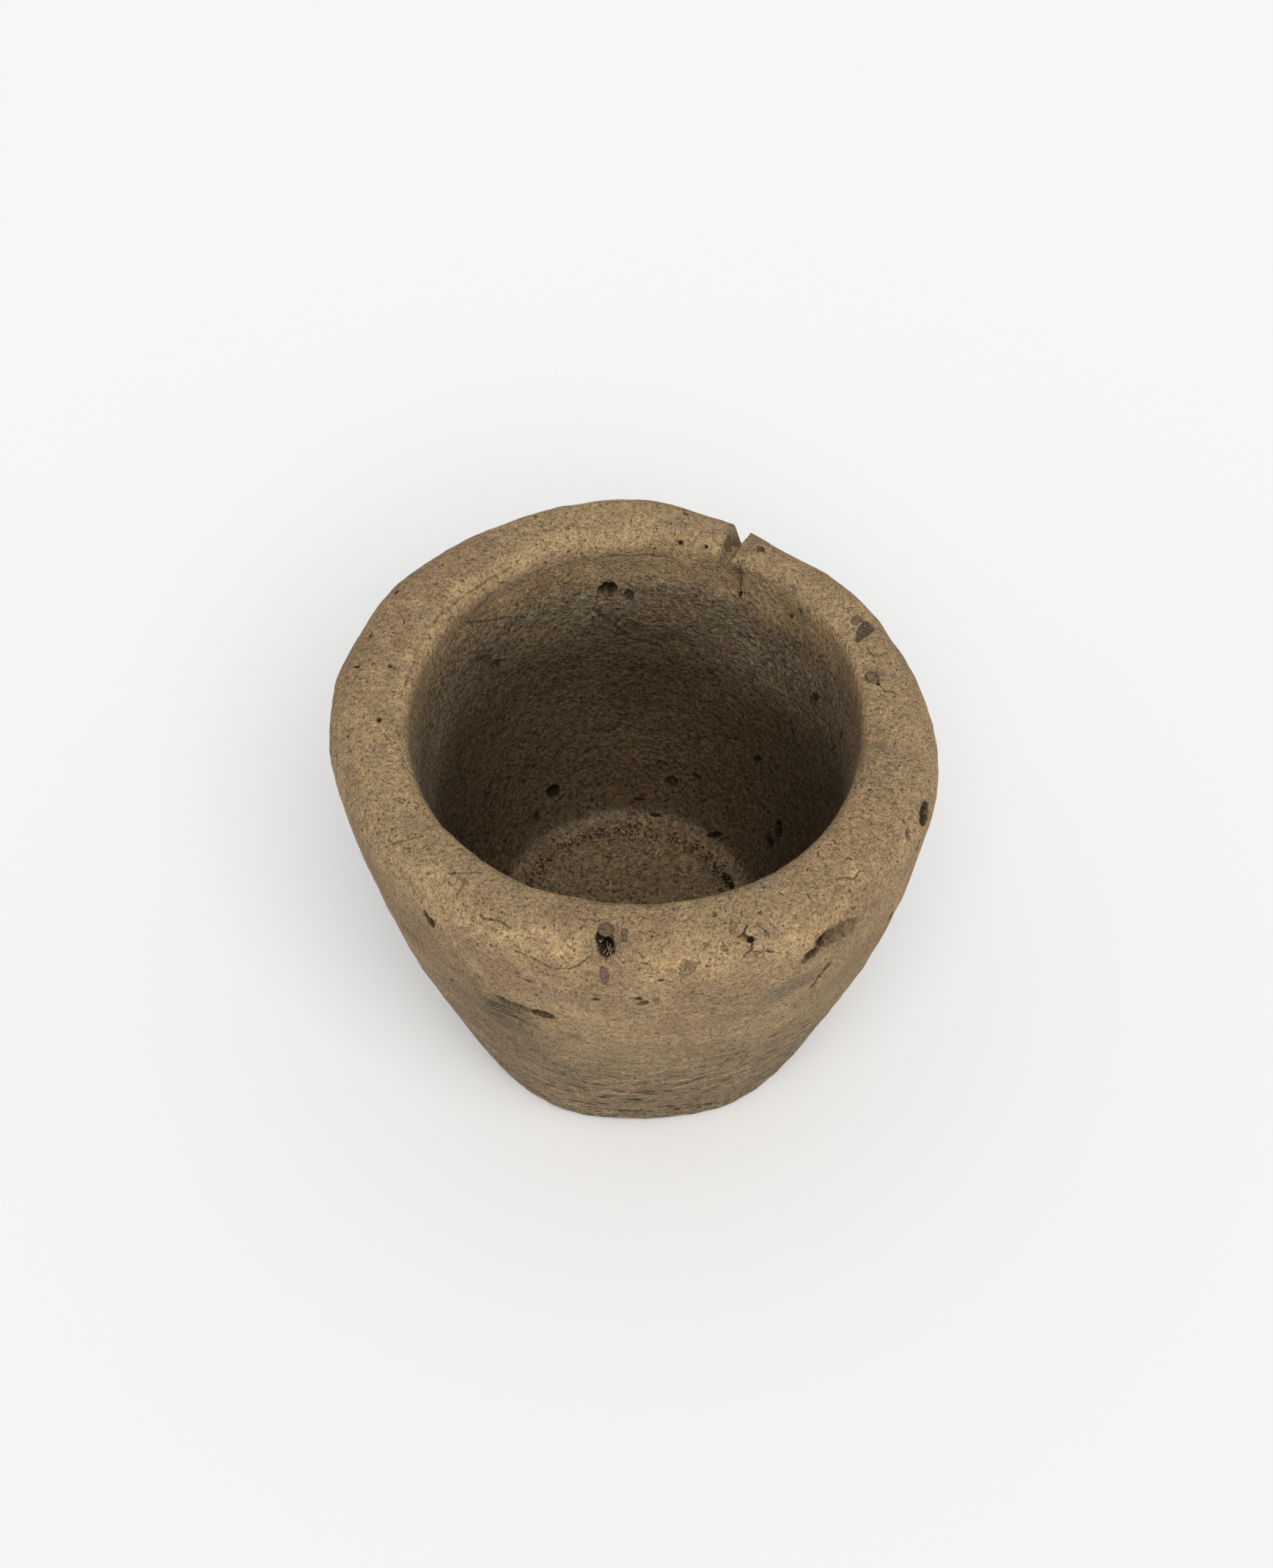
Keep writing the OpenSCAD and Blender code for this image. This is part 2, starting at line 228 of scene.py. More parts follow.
# Hollows in the clay: place, length round the pot, width, depth, turn, steepness of the side, and the share
# of painted shade and dirt that darkens it.
hollows = [
    (in_bowl(97.9, height - 33), 9.5, 7.6, 12, 0, 5, 1),
    (in_bowl(91.8, height - 39.6), 4.8, 7, 6, 0, 4, 0.62),
    (in_bowl(120.2, floor_z + 18), 8, 6.4, 9, 0, 6, 1),
    (in_bowl(130.2, floor_z + 10.6), 4.6, 2, 2.4, 40, 3, 0.9),
    (in_bowl(73, floor_z + 17), 7, 5.4, 3, 0, 2, 0.6),
    (in_bowl(78, floor_z + 27), 6, 2.2, 1.6, -10, 2, 0.6),
    (in_bowl(85.4, floor_z + 6), 5, 1.8, 2, 0, 3, 0.9),
    (in_bowl(77, floor_z + 1.6), 5, 2, 2, 10, 3, 0.9),
    (in_bowl(64, floor_z + 24), 5.4, 2.6, 2.6, 0, 3, 0.9),
    (in_bowl(24.6, floor_z + 31), 6, 10, 6, 20, 4, 0.95),
    (in_bowl(24.6, floor_z + 20.4), 5, 5, 4.6, 0, 4, 1),
    (in_bowl(47.4, floor_z + 3.1), 8.5, 3, 3, 40, 2, 1),
    (in_bowl(44, 91), 2.8, 7.5, 2.8, -35, 2, 1),
    (in_bowl(28, 166), 5, 11, 2.4, -20, 1.6, 0.7),
    (in_bowl(24, 170), 9, 13, 1.6, -30, 1, 0.35),
    (in_bowl(7.8, 209), 1.4, 8, 1.6, 0, 2, 0.7),
    (in_bowl(33.4, 129), 3.8, 2.6, 2.2, 0, 2, 0.9),
    (in_bowl(43.2, 202.4), 2, 3.8, 2, -20, 3, 0.8),
    (in_bowl(40.6, 210.5), 3.8, 1.8, 1.8, -20, 3, 0.8),
    (in_bowl(133, 159.5), 9, 8, 4, -40, 1.2, 0.9),
    (in_bowl(137.5, 170), 24, 8, 2.2, -51, 1, 0.55),
    (in_bowl(62.4, 206), 7, 22, 3.6, -4, 1.2, 0.25),
    (in_bowl(60.6, 197), 1.6, 3.6, 1.4, 0, 2, 0.8),
    (in_bowl(91, 156), 46, 11, 1.6, -48, 1, 0.12),
    (in_bowl(80, 150), 22, 12, 1.6, 10, 1, 0.4),
    (in_bowl(66, 131), 6, 20, 1.8, -30, 1, 0.45),
    (in_bowl(53, 142), 9, 30, 1.6, -35, 1, 0.3),
    (in_bowl(48.4, 160), 3, 18, 1.1, -35, 1, 0.5),
    (in_bowl(103.4, 69.8), 12, 3.4, 1.6, 20, 1.4, 0.6),
    (in_bowl(92.2, 91), 6, 2.4, 1.4, 10, 1.6, 0.7),
    (in_bowl(97.6, 83.4), 7, 2.2, 1.2, 10, 1.6, 0.6),
    (in_bowl(147.2, 76.2), 9, 3.4, 1.8, 20, 1.6, 0.7),
    (in_bowl(166, 173.7), 2, 5, 1.2, 20, 1.6, 0.7),
    (in_bowl(175.2, 173), 2.4, 6, 1.2, 20, 1.6, 0.7),
    (in_bowl(167.8, 189.1), 2, 4, 1, 40, 1.6, 0.5),
    (in_bowl(22.4, 108.3), 2.2, 3, 1.8, 0, 2, 0.9),
    (in_bowl(10.4, 174), 2, 9, 1.6, -10, 1.6, 0.7),
    (in_bowl(13.4, 156.8), 2, 7, 1.4, -10, 1.6, 0.6),
    (in_bowl(11.6, 123.6), 2, 3.6, 1.6, 0, 2, 0.8),
    (in_bowl(84, 112), 84, 64, 0.3, 0, 1, 0.3),
    (in_bowl(114, 120), 26, 12, 1.4, 20, 1, 0.1),
    (in_bowl(150, 120), 30, 14, 1.3, 30, 1, 0.1),
    (in_bowl(36, 130), 12, 28, 1.3, -30, 1, 0.15),
    (on_floor(23, floor_r - 1), 12, 3.8, 5.4, 0, 3, 1),
    (on_shoulder(265.3, 48.5), 6.6, 8.4, 12, 0, 4, 0.95),
    (on_shoulder(265.6, 52), 18, 21, 0.9, 0, 1.2, 0.35),
    (on_shoulder(264.1, 60), 3.6, 6.4, 5, 20, 3, 0.9),
    (on_wall(308.9, 203), 26, 12, 7, -12, 2.6, 0.45),
    (on_wall(306.9, 204.3), 13, 8, 4, -12, 2, 0.9),
    (on_wall(303.3, 198.6), 7, 8.5, 5, 0, 3, 0.85),
    (on_wall(302, 194), 4, 4, 2, 30, 2, 0.7),
    (on_wall(245.4, 155.2), 19, 5.4, 1.6, 2, 1.5, 0.55),
    (on_wall(242, 158), 6, 3, 1.4, 0, 1.5, 0.58),
    (on_wall(251, 155.6), 11, 7, 3, -3, 1.8, 0.85),
    (on_wall(228.6, 196.5), 5, 6.6, 4, 10, 3, 0.8),
    (on_wall(227.6, 199.5), 2.4, 5, 1.4, 20, 2, 0.8),
    (on_wall(262.6, 181.4), 3.4, 2.2, 2.6, 0, 3, 1),
    (on_wall(270.8, 186.3), 3, 2.6, 2.6, 0, 3, 1),
    (on_wall(271.6, 183), 6, 3, 1.2, 30, 2, 0.7),
    (on_wall(274, 186), 3, 3, 1, 0, 2, 0.5),
    (on_wall(275.2, 202.4), 3, 2, 1.4, 0, 2, 0.9),
    (on_wall(249.4, 184.9), 3, 1.6, 1, 0, 2, 0.7),
    (on_shoulder(292.6, 50.2), 3.2, 2.8, 3, 0, 4, 1),
    (on_shoulder(57.6, 85.3), 4, 3.6, 2.2, 0, 4, 0.6),
    (on_shoulder(337.8, 30), 11.5, 6.4, 7, 15, 4, 0.9),
    (on_wall(333, 203), 7, 4, 2, 40, 1.5, 0.7),
    (on_shoulder(331.4, 42), 5, 3, 1.2, 40, 1.5, 0.5),
    (on_rim(350, 5), 11, 24, 1.7, 0, 1, 0.1),
    (on_rim(9.6, 8.6), 8, 7, 1.1, 0, 1.6, 0.5),
    (on_rim(7.4, 11.2), 3.2, 2, 1.3, 20, 2, 0.95),
    (on_rim(78.8, 2.6), 2.2, 2.2, 2.2, 0, 3, 1),
    (on_rim(72, 2.6), 1.8, 1.8, 1.8, 0, 3, 1),
    (on_rim(183.4, 12.2), 2.8, 2.2, 2, 0, 3, 1),
    (on_shoulder(147.6, 63.1), 3, 2, 1.4, 0, 2, 0.9),
    (on_shoulder(169.2, 70.1), 1.6, 2.8, 1.4, 0, 2, 0.9),
    (on_shoulder(160.2, 68.9), 2.8, 1.6, 1.2, 0, 2, 0.8),
    (on_rim(167.6, 11.8), 2.2, 2.2, 1.2, 0, 2, 0.8),
    (on_shoulder(77.4, 68.9), 3, 2.2, 1.4, 0, 2, 0.8),
    (on_wall(229, 145.6), 3, 2, 1.4, 0, 2, 0.65),
    (on_wall(282.2, 78.6), 8, 2.8, 2, 15, 1.5, 0.65),
    (on_wall(278, 74.5), 8, 2.6, 2.2, 10, 1.5, 0.65),
    (on_wall(290, 63), 6, 2.6, 1.8, 15, 1.5, 0.58),
    (on_wall(269.2, 65), 9, 4, 2.4, 0, 1.5, 0.72),
    (on_wall(270.4, 60), 7, 3, 2, 0, 1.5, 0.65),
    (on_wall(275, 64.7), 4.6, 2.4, 2, 0, 2, 0.72),
    (on_wall(258.4, 51.3), 9, 3, 1.6, 0, 1.5, 0.58),
    (on_wall(263.2, 66.8), 6, 2.4, 1.4, 0, 1.5, 0.58),
    (on_wall(265.4, 48.2), 9, 3.4, 1.8, 0, 1.5, 0.65),
    (on_wall(250.6, 52.6), 8, 3, 1.4, -5, 1.5, 0.5),
    (on_wall(251, 29), 12, 5, 1.8, -5, 1.5, 0.5),
    (on_wall(256, 35), 9, 4, 1.8, 0, 1.5, 0.58),
    (on_wall(244, 50.6), 8, 2.4, 1.2, -5, 1.5, 0.43),
    (on_wall(302.6, 125.9), 6, 1.8, 1.4, 10, 1.5, 0.58),
    (on_wall(309, 99), 7, 2.4, 1.6, 10, 1.5, 0.5),
    (on_wall(298.8, 116.5), 5.4, 1.7, 1.3, 10, 1.5, 0.58),
    (on_wall(292.2, 98), 5.4, 1.8, 1.4, 10, 1.5, 0.58),
    (on_wall(295.4, 152.9), 4, 1.8, 1.2, 10, 1.5, 0.58),
    (on_wall(290.2, 142.8), 6, 1.5, 1, 10, 1.5, 0.5),
    (on_wall(326, 167), 3.4, 5.6, 2, 0, 2, 0.8),
    (on_wall(284, 17), 14, 7, 2.4, 0, 1.5, 0.58),
    (on_wall(274, 27), 12, 5, 2, 0, 1.5, 0.58),
    (on_wall(262, 20), 12, 5, 2, 0, 1.5, 0.5),
]

# Cracks and creases: their places in turn, width, depth, and the share of painted shade and dirt that darkens
# them.
cracks = [
    ([on_shoulder(239.6, 39.7), on_shoulder(243.4, 45.6), on_shoulder(246.2, 42.1)], 0.9, 0.6, 0.6),
    (
        [on_shoulder(248, 8.2), on_shoulder(251.6, 2.3), on_wall(255.6, 200.7)]
        + [on_shoulder(259.6, 7), on_shoulder(262, 29.2)],
        1.1, 0.7, 0.6,
    ),
    ([on_shoulder(292.8, 70.1), on_shoulder(292, 61.9), on_shoulder(290.6, 58.4)], 1, 0.8, 0.8),
    ([on_shoulder(291.8, 60.8), on_shoulder(292.4, 52.6), on_shoulder(293.2, 49.1)], 1.1, 0.9, 0.9),
    ([on_shoulder(292.8, 45.6), on_shoulder(292.6, 37.4), on_shoulder(290.6, 28)], 1, 0.9, 0.8),
    ([on_shoulder(292, 33.9), on_shoulder(294.4, 26.9), on_shoulder(296.2, 18.7)], 0.8, 0.6, 0.6),
    ([on_shoulder(294.6, 67.8), on_shoulder(295.5, 58), on_shoulder(296.2, 45.6)], 0.8, 0.6, 0.6),
    ([on_wall(307.8, 177.5), on_wall(307, 172.4), on_wall(306.2, 170), on_wall(305, 160)], 2.8, 2.4, 1),
    ([on_rim(6.6, 12.9), on_rim(4.8, 14.8), on_rim(4.4, 18.1), on_shoulder(4, 85.3)], 0.9, 0.7, 0.6),
    ([on_rim(17.8, 16.6), on_rim(15, 17.4), on_shoulder(14.8, 81.7), on_shoulder(15.2, 70.1)], 0.9, 0.6, 0.5),
    ([on_shoulder(20, 80.6), on_shoulder(20.2, 65), on_shoulder(19, 57.3)], 0.8, 0.5, 0.5),
    ([in_bowl(102, 173), in_bowl(96.4, 160.4), in_bowl(91, 147.4), in_bowl(82.4, 143.9)], 2.6, 1.5, 0.45),
    ([on_shoulder(313.8, 78.3), on_shoulder(316.4, 65.4), on_shoulder(318.2, 65.4)], 0.9, 0.6, 0.6),
    ([on_shoulder(215.2, 49.1), on_shoulder(217, 73.6), on_rim(218.4, 17)], 1, 0.6, 0.5),
    ([on_shoulder(232.8, 79.4), on_shoulder(233.4, 66.6), on_shoulder(233.6, 47.9)], 1.2, 0.6, 0.5),
    ([on_shoulder(229.4, 74.8), on_rim(232.8, 17.8), on_rim(234.2, 11.8)], 0.9, 0.6, 0.5),
    ([in_bowl(61.2, 210), in_bowl(61.2, 205), in_bowl(60.4, 196)], 1.9, 0.9, 0.3),
    ([in_bowl(127.4, 189.4), in_bowl(136.6, 198.6), in_bowl(141.8, 207.7)], 1.8, 0.9, 0.5),
    (
        [on_rim(122, 1.6), on_rim(128.6, 3.6), on_rim(134.6, 2.9), on_rim(140.2, 5)]
        + [on_rim(150, 6.4), on_rim(159.6, 6.3), on_rim(172, 4.5)],
        1.7, 0.7, 0.28,
    ),
    ([in_bowl(99, 212), in_bowl(90, 211), in_bowl(80, 211)], 1.6, 0.6, 0.25),
]

# Where stones and bits of fired clay show: place, and outline along and onward from it.
beds = {
    "rim_stone": (
        on_shoulder(22.8, 79.4),
        [(-5, 7.4), (-3.9, 0.2), (-0.3, -5.7), (3.4, -4.8), (5.6, -2.2), (1.4, 3.5)],
    ),
    "rim_grog_chip": (
        on_shoulder(26.2, 80.6),
        [(0.7, 2.8), (-1.7, 3.3), (-2.8, 1.5), (-1.8, -1.6), (0.2, -3.6), (2.6, -2.5), (2.5, 0.4)],
    ),
    "rim_crack_chip": (
        on_rim(9.4, 8.1),
        [(3.2, 2.8), (-0.5, 2.2), (-3.1, 0), (-3.1, -2.4), (-0.8, -2.6), (2.1, -1.2), (3.7, 0.6)],
    ),
    "front_grog_chip": (
        on_wall(264.8, 202.1),
        [(-1.6, 6.2), (-2, 0.9), (-1.3, -3.7), (-0.2, -6.6), (1.1, -5.4)]
        + [(1.5, -2.3), (2.4, 1.1), (1.5, 4.6), (0.2, 6)],
    ),
    "hole_chip_upper": (
        on_shoulder(265.4, 77.1),
        [(-4.1, 0.7), (-3.2, -3.1), (-0.4, -4), (2.2, -3.2), (3.1, -0.6), (2.1, 2), (-1.3, 2.8)],
    ),
    "hole_chip_right": (on_shoulder(268.8, 68.9), [(-1.1, 3), (-1, -2.8), (1.1, -2.7), (1.5, 2.6)]),
    "notch_grog_chip": (
        in_bowl(56.8, 194),
        [(1.8, 0.8), (0.1, 0.8), (-1.5, -0.6), (-0.6, -1.2), (0.6, -0.8)],
    ),
    "rim_white_pebble": (
        on_rim(340.2, 8.5),
        [(1, 0), (0.5, 0.9), (-0.5, 0.9), (-1, 0), (-0.5, -0.9), (0.5, -0.9)],
    ),
}
front_rim_beds = [
    (
        on_shoulder(280.2, 18.7),
        [(-1.6, 5.5), (-3, 2), (-3.6, -3.2), (-1.5, -5.9), (1.5, -3.4), (4, 0.8), (3.1, 3.7)],
    ),
    (on_shoulder(287.4, 46.7), [(-1.4, 1), (-1.5, -0.6), (-0.1, -1.6), (1.4, -1), (1.4, 0.6), (0, 1.6)]),
    (on_shoulder(284.4, 53.8), [(-1.3, 0.8), (-0.6, -0.7), (1.1, -0.4), (0.6, 0.7)]),
    (on_shoulder(290.2, 72.4), [(-1, 1.2), (-2.1, -1.6), (-1, -3.3), (1.2, -0.9), (2.6, 1.8), (0.5, 2.8)]),
    (on_shoulder(293.4, 22.2), [(-1.6, 1.2), (-1.6, -0.9), (0.3, -2.3), (2.1, -1.4), (2, 0.6), (-0.2, 1.8)]),
]
all_beds = list(beds.values()) + front_rim_beds

spin_steps = 252
skin = bmesh.new()
rib = [skin.verts.new((r, 0, z)) for r, z in outline]
rib_edges = [skin.edges.new(pair) for pair in zip(rib, rib[1:])]
bmesh.ops.spin(
    skin,
    geom=rib + rib_edges,
    cent=(0, 0, 0),
    axis=(0, 0, 1),
    dvec=(0, 0, 0),
    angle=2 * math.pi,
    steps=spin_steps,
    use_merge=True,
)
bmesh.ops.remove_doubles(skin, verts=skin.verts, dist=1e-4)
bmesh.ops.recalc_face_normals(skin, faces=skin.faces)


def between(places, step):
    """Points about a step apart along a line through the places."""
    points = []
    for start, end in zip(places, places[1:]):
        count = max(1, round((end - start).length / step))
        points += [start.lerp(end, i / count) for i in range(count)]
    return points + [places[-1]]


def refine(mesh, spots):
    """Halves the mesh's edges that lie within a reach of any of the spots."""
    tree = kdtree.KDTree(len(mesh.edges))
    for i, edge in enumerate(mesh.edges):
        tree.insert((edge.verts[0].co + edge.verts[1].co) / 2, i)
    tree.balance()
    near = {i for spot, reach in spots for _, i, _ in tree.find_range(spot, reach)}
    mesh.edges.ensure_lookup_table()
    chosen = [mesh.edges[i] for i in sorted(near)]
    bmesh.ops.subdivide_edges(mesh, edges=chosen, cuts=1, use_grid_fill=True)


notch_line = between([in_bowl(65, 209), on_rim(64, 2), on_rim(63.5, 18), on_shoulder(63.5, 20)], 2)
notch_line += between([on_shoulder(63.5, 20), on_wall(63.5, 190)], 2)
# The skin is refined three times over: each time round the beds, and where the hollows and the cracks are
# narrower than this.
widest_hollow = (999, 11, 5.3)
widest_crack = (999, 999, 2)
for level in range(3):
    spots = []
    for spot, long, wide, _, _, steep, _ in hollows:
        if steep > 1 and min(long, wide) < widest_hollow[level]:
            spots.append((spot, max(long, wide) / 2 + 2 / (level + 1)))
    for places, width, *_ in cracks:
        if width < widest_crack[level]:
            spots += [(spot, width / 2 + 2.4 / (level + 1)) for spot in between(places, 0.8)]
    for spot, corners in all_beds:
        spots.append((spot, max(math.hypot(*corner) for corner in corners) + 1.6 / (level + 1)))
    if level < 2:
        spots += [(spot, 7 - level) for spot in notch_line]
    refine(skin, spots)

# Use has browned the bowl from just under its lip. Below a line that rises to the right it is darkened
# further: painted shade of the bowl's deep inside.
brown_from = [(0, 6), (20, 8), (40, 14), (52, 24), (66, 17), (80, 17), (108, 17), (124, 12)]
brown_from += [(150, 8), (180, 8), (200, 5), (360, 6)]
painted_shade_below = [(0, 172), (20, 161), (31, 158), (43, 148), (53, 139), (64, 158), (88, 166), (105, 168)]
painted_shade_below += [(142, 170), (149, 165), (165, 138), (185, 118), (230, 130), (300, 150), (340, 170), (360, 172)]
bowl_wear_and_shade = []
for vert in skin.verts:
    r = math.hypot(vert.co.x, vert.co.y)
    z = vert.co.z
    brown = dark = dusty = 0
    if z > floor_z - 1 and r < 0.5 * (inside_r(z) + outside_r(z)):
        azimuth = math.degrees(math.atan2(vert.co.y, vert.co.x))
        start = by_azimuth(azimuth, brown_from)
        wander = 9 * noise.noise(vert.co / 24) + 4 * noise.noise(vert.co / 8)
        brown = smooth(height - z + 0.4 * wander, start, start + 22)
        # The share of painted shade deep in the bowl, below that line.
        dark = smooth(by_azimuth(azimuth, painted_shade_below) + wander - z, -22, 32)
        dark *= smooth(z, floor_z + 0.3, floor_z + 4)
        dusty = 1 - smooth(z, floor_z, floor_z + 2.5)
    bowl_wear_and_shade.append((brown, dark, dusty))
    vert.co = hand_shaped(vert.co)
skin.normal_update()

# Swells left by the hands, and the grain of the clay, in millimetres of size and of height. They are sunk a
# little as a whole, and what is smaller than a finger's width is coarser in the worn bowl.
swells = [(75, 1.0), (26, 0.8), (11, 0.45), (4.5, 0.28)]
sunk = 0.4
finger = 20
moves = []
for vert, (brown, _, _) in zip(skin.verts, bowl_wear_and_shade):
    lift = 0
    for i, (size, rise) in enumerate(swells):
        more = 1 + 0.5 * brown if size < finger else 1
        lift += more * rise * noise.noise(vert.co / size + Vector((7.3 * i, 0, 3.1 * i)))
    moves.append(vert.normal * (lift - sunk))
for vert, move in zip(skin.verts, moves):
    vert.co += move

# Where the wall stands out of the even form or falls short of it: place, reach and rise.
lumps = [
    (on_shoulder(89, 50), 32, 2.2),
    (on_shoulder(114, 45), 22, -1.1),
    (on_shoulder(128, 38), 42, -1.5),
    (on_shoulder(54, 36), 22, -1.4),
    (on_shoulder(34, 38), 32, 1.7),
    (on_shoulder(352, 15), 50, 0.9),
    (on_shoulder(169, 30), 26, 1.5),
    (on_shoulder(186, 25), 26, 0.9),
    (on_wall(228, 115), 32, -1.4),
    (on_wall(266, 6), 48, -2.6),
]
for spot, reach, rise in lumps:
    middle = hand_shaped(spot)
    for vert in skin.verts:
        away = (vert.co - middle).length / reach
        if away < 1:
            vert.co += vert.normal * rise * (1 - away * away) ** 2

# The notch broken across the rim: steep on its left side, low on its right, deepest at the outside.
notch_in = Vector((45.4, 94.3))
notch_out = Vector((52.9, 110.7))
notch_run = (notch_out - notch_in).normalized()
notch_aside = Vector((notch_run.y, -notch_run.x))
notch_half = 4.4
notch_low_side = 15
notch_depth = 9.5
notch_shade = {}
for i, vert in enumerate(skin.verts):
    offset = vert.co.xy - notch_in
    onward, aside = offset.dot(notch_run), offset.dot(notch_aside)
    half = notch_half + 0.5 * noise.noise(vert.co / 5) + 0.1 * max(6 - onward, 0)
    if vert.co.z > height - 45 and -12 < onward < 50 and -half < aside < half + notch_low_side:
        deep = notch_depth + 0.1 * min(onward, 13) + 0.98 * max(onward - 15, 0)
        deep *= smooth(onward, -12, -3)
        steep_side = smooth(aside, -half, -half + 1.2)
        low_side = 0.7 * smooth(aside, 0, half) + 0.3 * smooth(aside, half, half + notch_low_side)
        rough = 1.4 * noise.noise(vert.co / 2.6)
        cut = height - 0.4 - (deep + rough) * steep_side * (1 - low_side)
        if cut < vert.co.z:
            vert.co.z = cut
            # The cut is darkened most at its steep side and a little over its floor: painted shade.
            notch_shade[i] = 0.5 * (1 - smooth(aside, -half + 1, -half + 3.4)) + 0.12

# The rim's top is worn level: nothing stands over it, and what comes near it is eased down. The foot is flat.
top = height - 0.05
ease = 0.8
for vert in skin.verts:
    below = top - vert.co.z
    if below < 4:
        vert.co.z = top - ease * math.log(1 + math.exp(below / ease))
    vert.co.z = max(vert.co.z, 0)
skin.normal_update()

skin.verts.ensure_lookup_table()
skin_tree = kdtree.KDTree(len(skin.verts))
for i, vert in enumerate(skin.verts):
    skin_tree.insert(vert.co, i)
skin_tree.balance()
whole_skin = BVHTree.FromBMesh(skin)
stain = np.zeros((len(skin.verts), 4), dtype=np.float32)
# Per point: the bowl's browning, painted shade and dirt in hollows and cracks, the floor's dust, and painted
# shade deep in the bowl.
wear_and_shade = np.zeros((len(skin.verts), 4), dtype=np.float32)
for i, (brown, dark, dusty) in enumerate(bowl_wear_and_shade):
    wear_and_shade[i] = (brown, notch_shade.get(i, 0), dusty, dark)


class Seat:
    """A place on the finished clay: outward leaves it, along runs anticlockwise, onward over the rim."""

    def __init__(self, spot):
        azimuth = math.atan2(spot.y, spot.x)
        self.spot, self.outward, _, _ = whole_skin.find_nearest(hand_shaped(spot))
        if self.outward.length < 0.5:
            self.outward = Vector((0, 0, 1))
        round_the_pot = Vector((-math.sin(azimuth), math.cos(azimuth), 0))
        self.along = (round_the_pot - self.outward * round_the_pot.dot(self.outward)).normalized()
        self.onward = self.outward.cross(self.along)

    def measure(self, point, turn=0):
        """How far a point is from the seat along a turned length and across it."""
        away = point - self.spot
        a, b = away.dot(self.along), away.dot(self.onward)
        c, s = math.cos(math.radians(turn)), math.sin(math.radians(turn))
        return a * c + b * s, b * c - a * s

    def at(self, a, b, proud):
        """The point so far along and onward from the seat, and so far out from it."""
        return self.spot + self.along * a + self.onward * b + self.outward * proud

    def place(self, a, b, proud):
        """The point so far along and onward over the clay's surface, and so far proud of it."""
        flat = self.spot + self.along * a + self.onward * b
        found, outward, _, _ = whole_skin.find_nearest(flat)
        return found + outward * proud


def oval(spot, long, wide, turn, spare=0):
    """The skin's points round a spot, each with how far out in an oval it is: 1 is the oval's edge."""
    seat = Seat(spot)
    reach = 0.62 * max(long, wide) + spare
    for point, i, _ in skin_tree.find_range(seat.spot, reach):
        a, b = seat.measure(point, turn)
        yield seat, point, i, (2 * a / long) ** 2 + (2 * b / wide) ** 2


def press(spot, long, wide, depth, turn, steep, shade_and_dirt):
    """Presses a hollow into the skin: a steepness of 1 gives a soft dish, 6 a hole with sides.

    The edge is ragged, more so on a small hollow. Painted shade, with some dirt, darkens it and reaches a
    little way past it.
    """
    ragged = 0.45 if min(long, wide) < 10 else 0.2
    bites = 0.25 * min(long, wide) + 0.4
    for seat, point, i, out in oval(spot, long, wide, turn, 1):
        out *= 1 + ragged * (noise.noise(point / bites) + 0.5 * noise.noise(point / 0.7))
        if out < 1:
            share = (1 - out**steep) ** 2
            skin.verts[i].co -= seat.outward * depth * share
        else:
            share = 0
        wear_and_shade[i, 1] += shade_and_dirt * (share if steep < 1.5 else 1 - smooth(out, 0.9, 1.5))


for hollow in hollows:
    press(*hollow)

# Cracks wander, and so do the edges of stones further on, by a noise that is seeded to be the same each time.
noise.seed_set(3)
for places, width, depth, shade_and_dirt in cracks:
    near = {}
    for point in between(places, 0.25):
        wander = noise.noise_vector(point / 4) * 0.9 + noise.noise_vector(point / 1.2) * 0.25
        middle, _, _, _ = whole_skin.find_nearest(hand_shaped(point + wander))
        for _, i, away in skin_tree.find_range(middle, width / 2):
            near[i] = min(away, near.get(i, width))
    for i, away in near.items():
        share = 1 - (2 * away / width) ** 2
        skin.verts[i].co -= skin.verts[i].normal * depth * share
        wear_and_shade[i, 1] += shade_and_dirt * min(1, 2.6 * share)


def within(a, b, corners):
    """Whether a point lies inside an outline."""
    inside_it = False
    for (a0, b0), (a1, b1) in zip(corners, corners[1:] + corners[:1]):
        if (b0 > b) != (b1 > b) and a < a0 + (b - b0) * (a1 - a0) / (b1 - b0):
            inside_it = not inside_it
    return inside_it


# The beds sink the clay within each stone's outline and darken it there: painted shade round the stone.
bed_depth = 1.1
bed_shade = 0.2
for spot, corners in all_beds:
    seat = Seat(spot)
    for point, i, _ in skin_tree.find_range(seat.spot, 1.1 * max(math.hypot(*c) for c in corners)):
        a, b = seat.measure(point)
        if within(a, b, corners):
            skin.verts[i].co -= seat.outward * bed_depth
            wear_and_shade[i, 1] += bed_shade

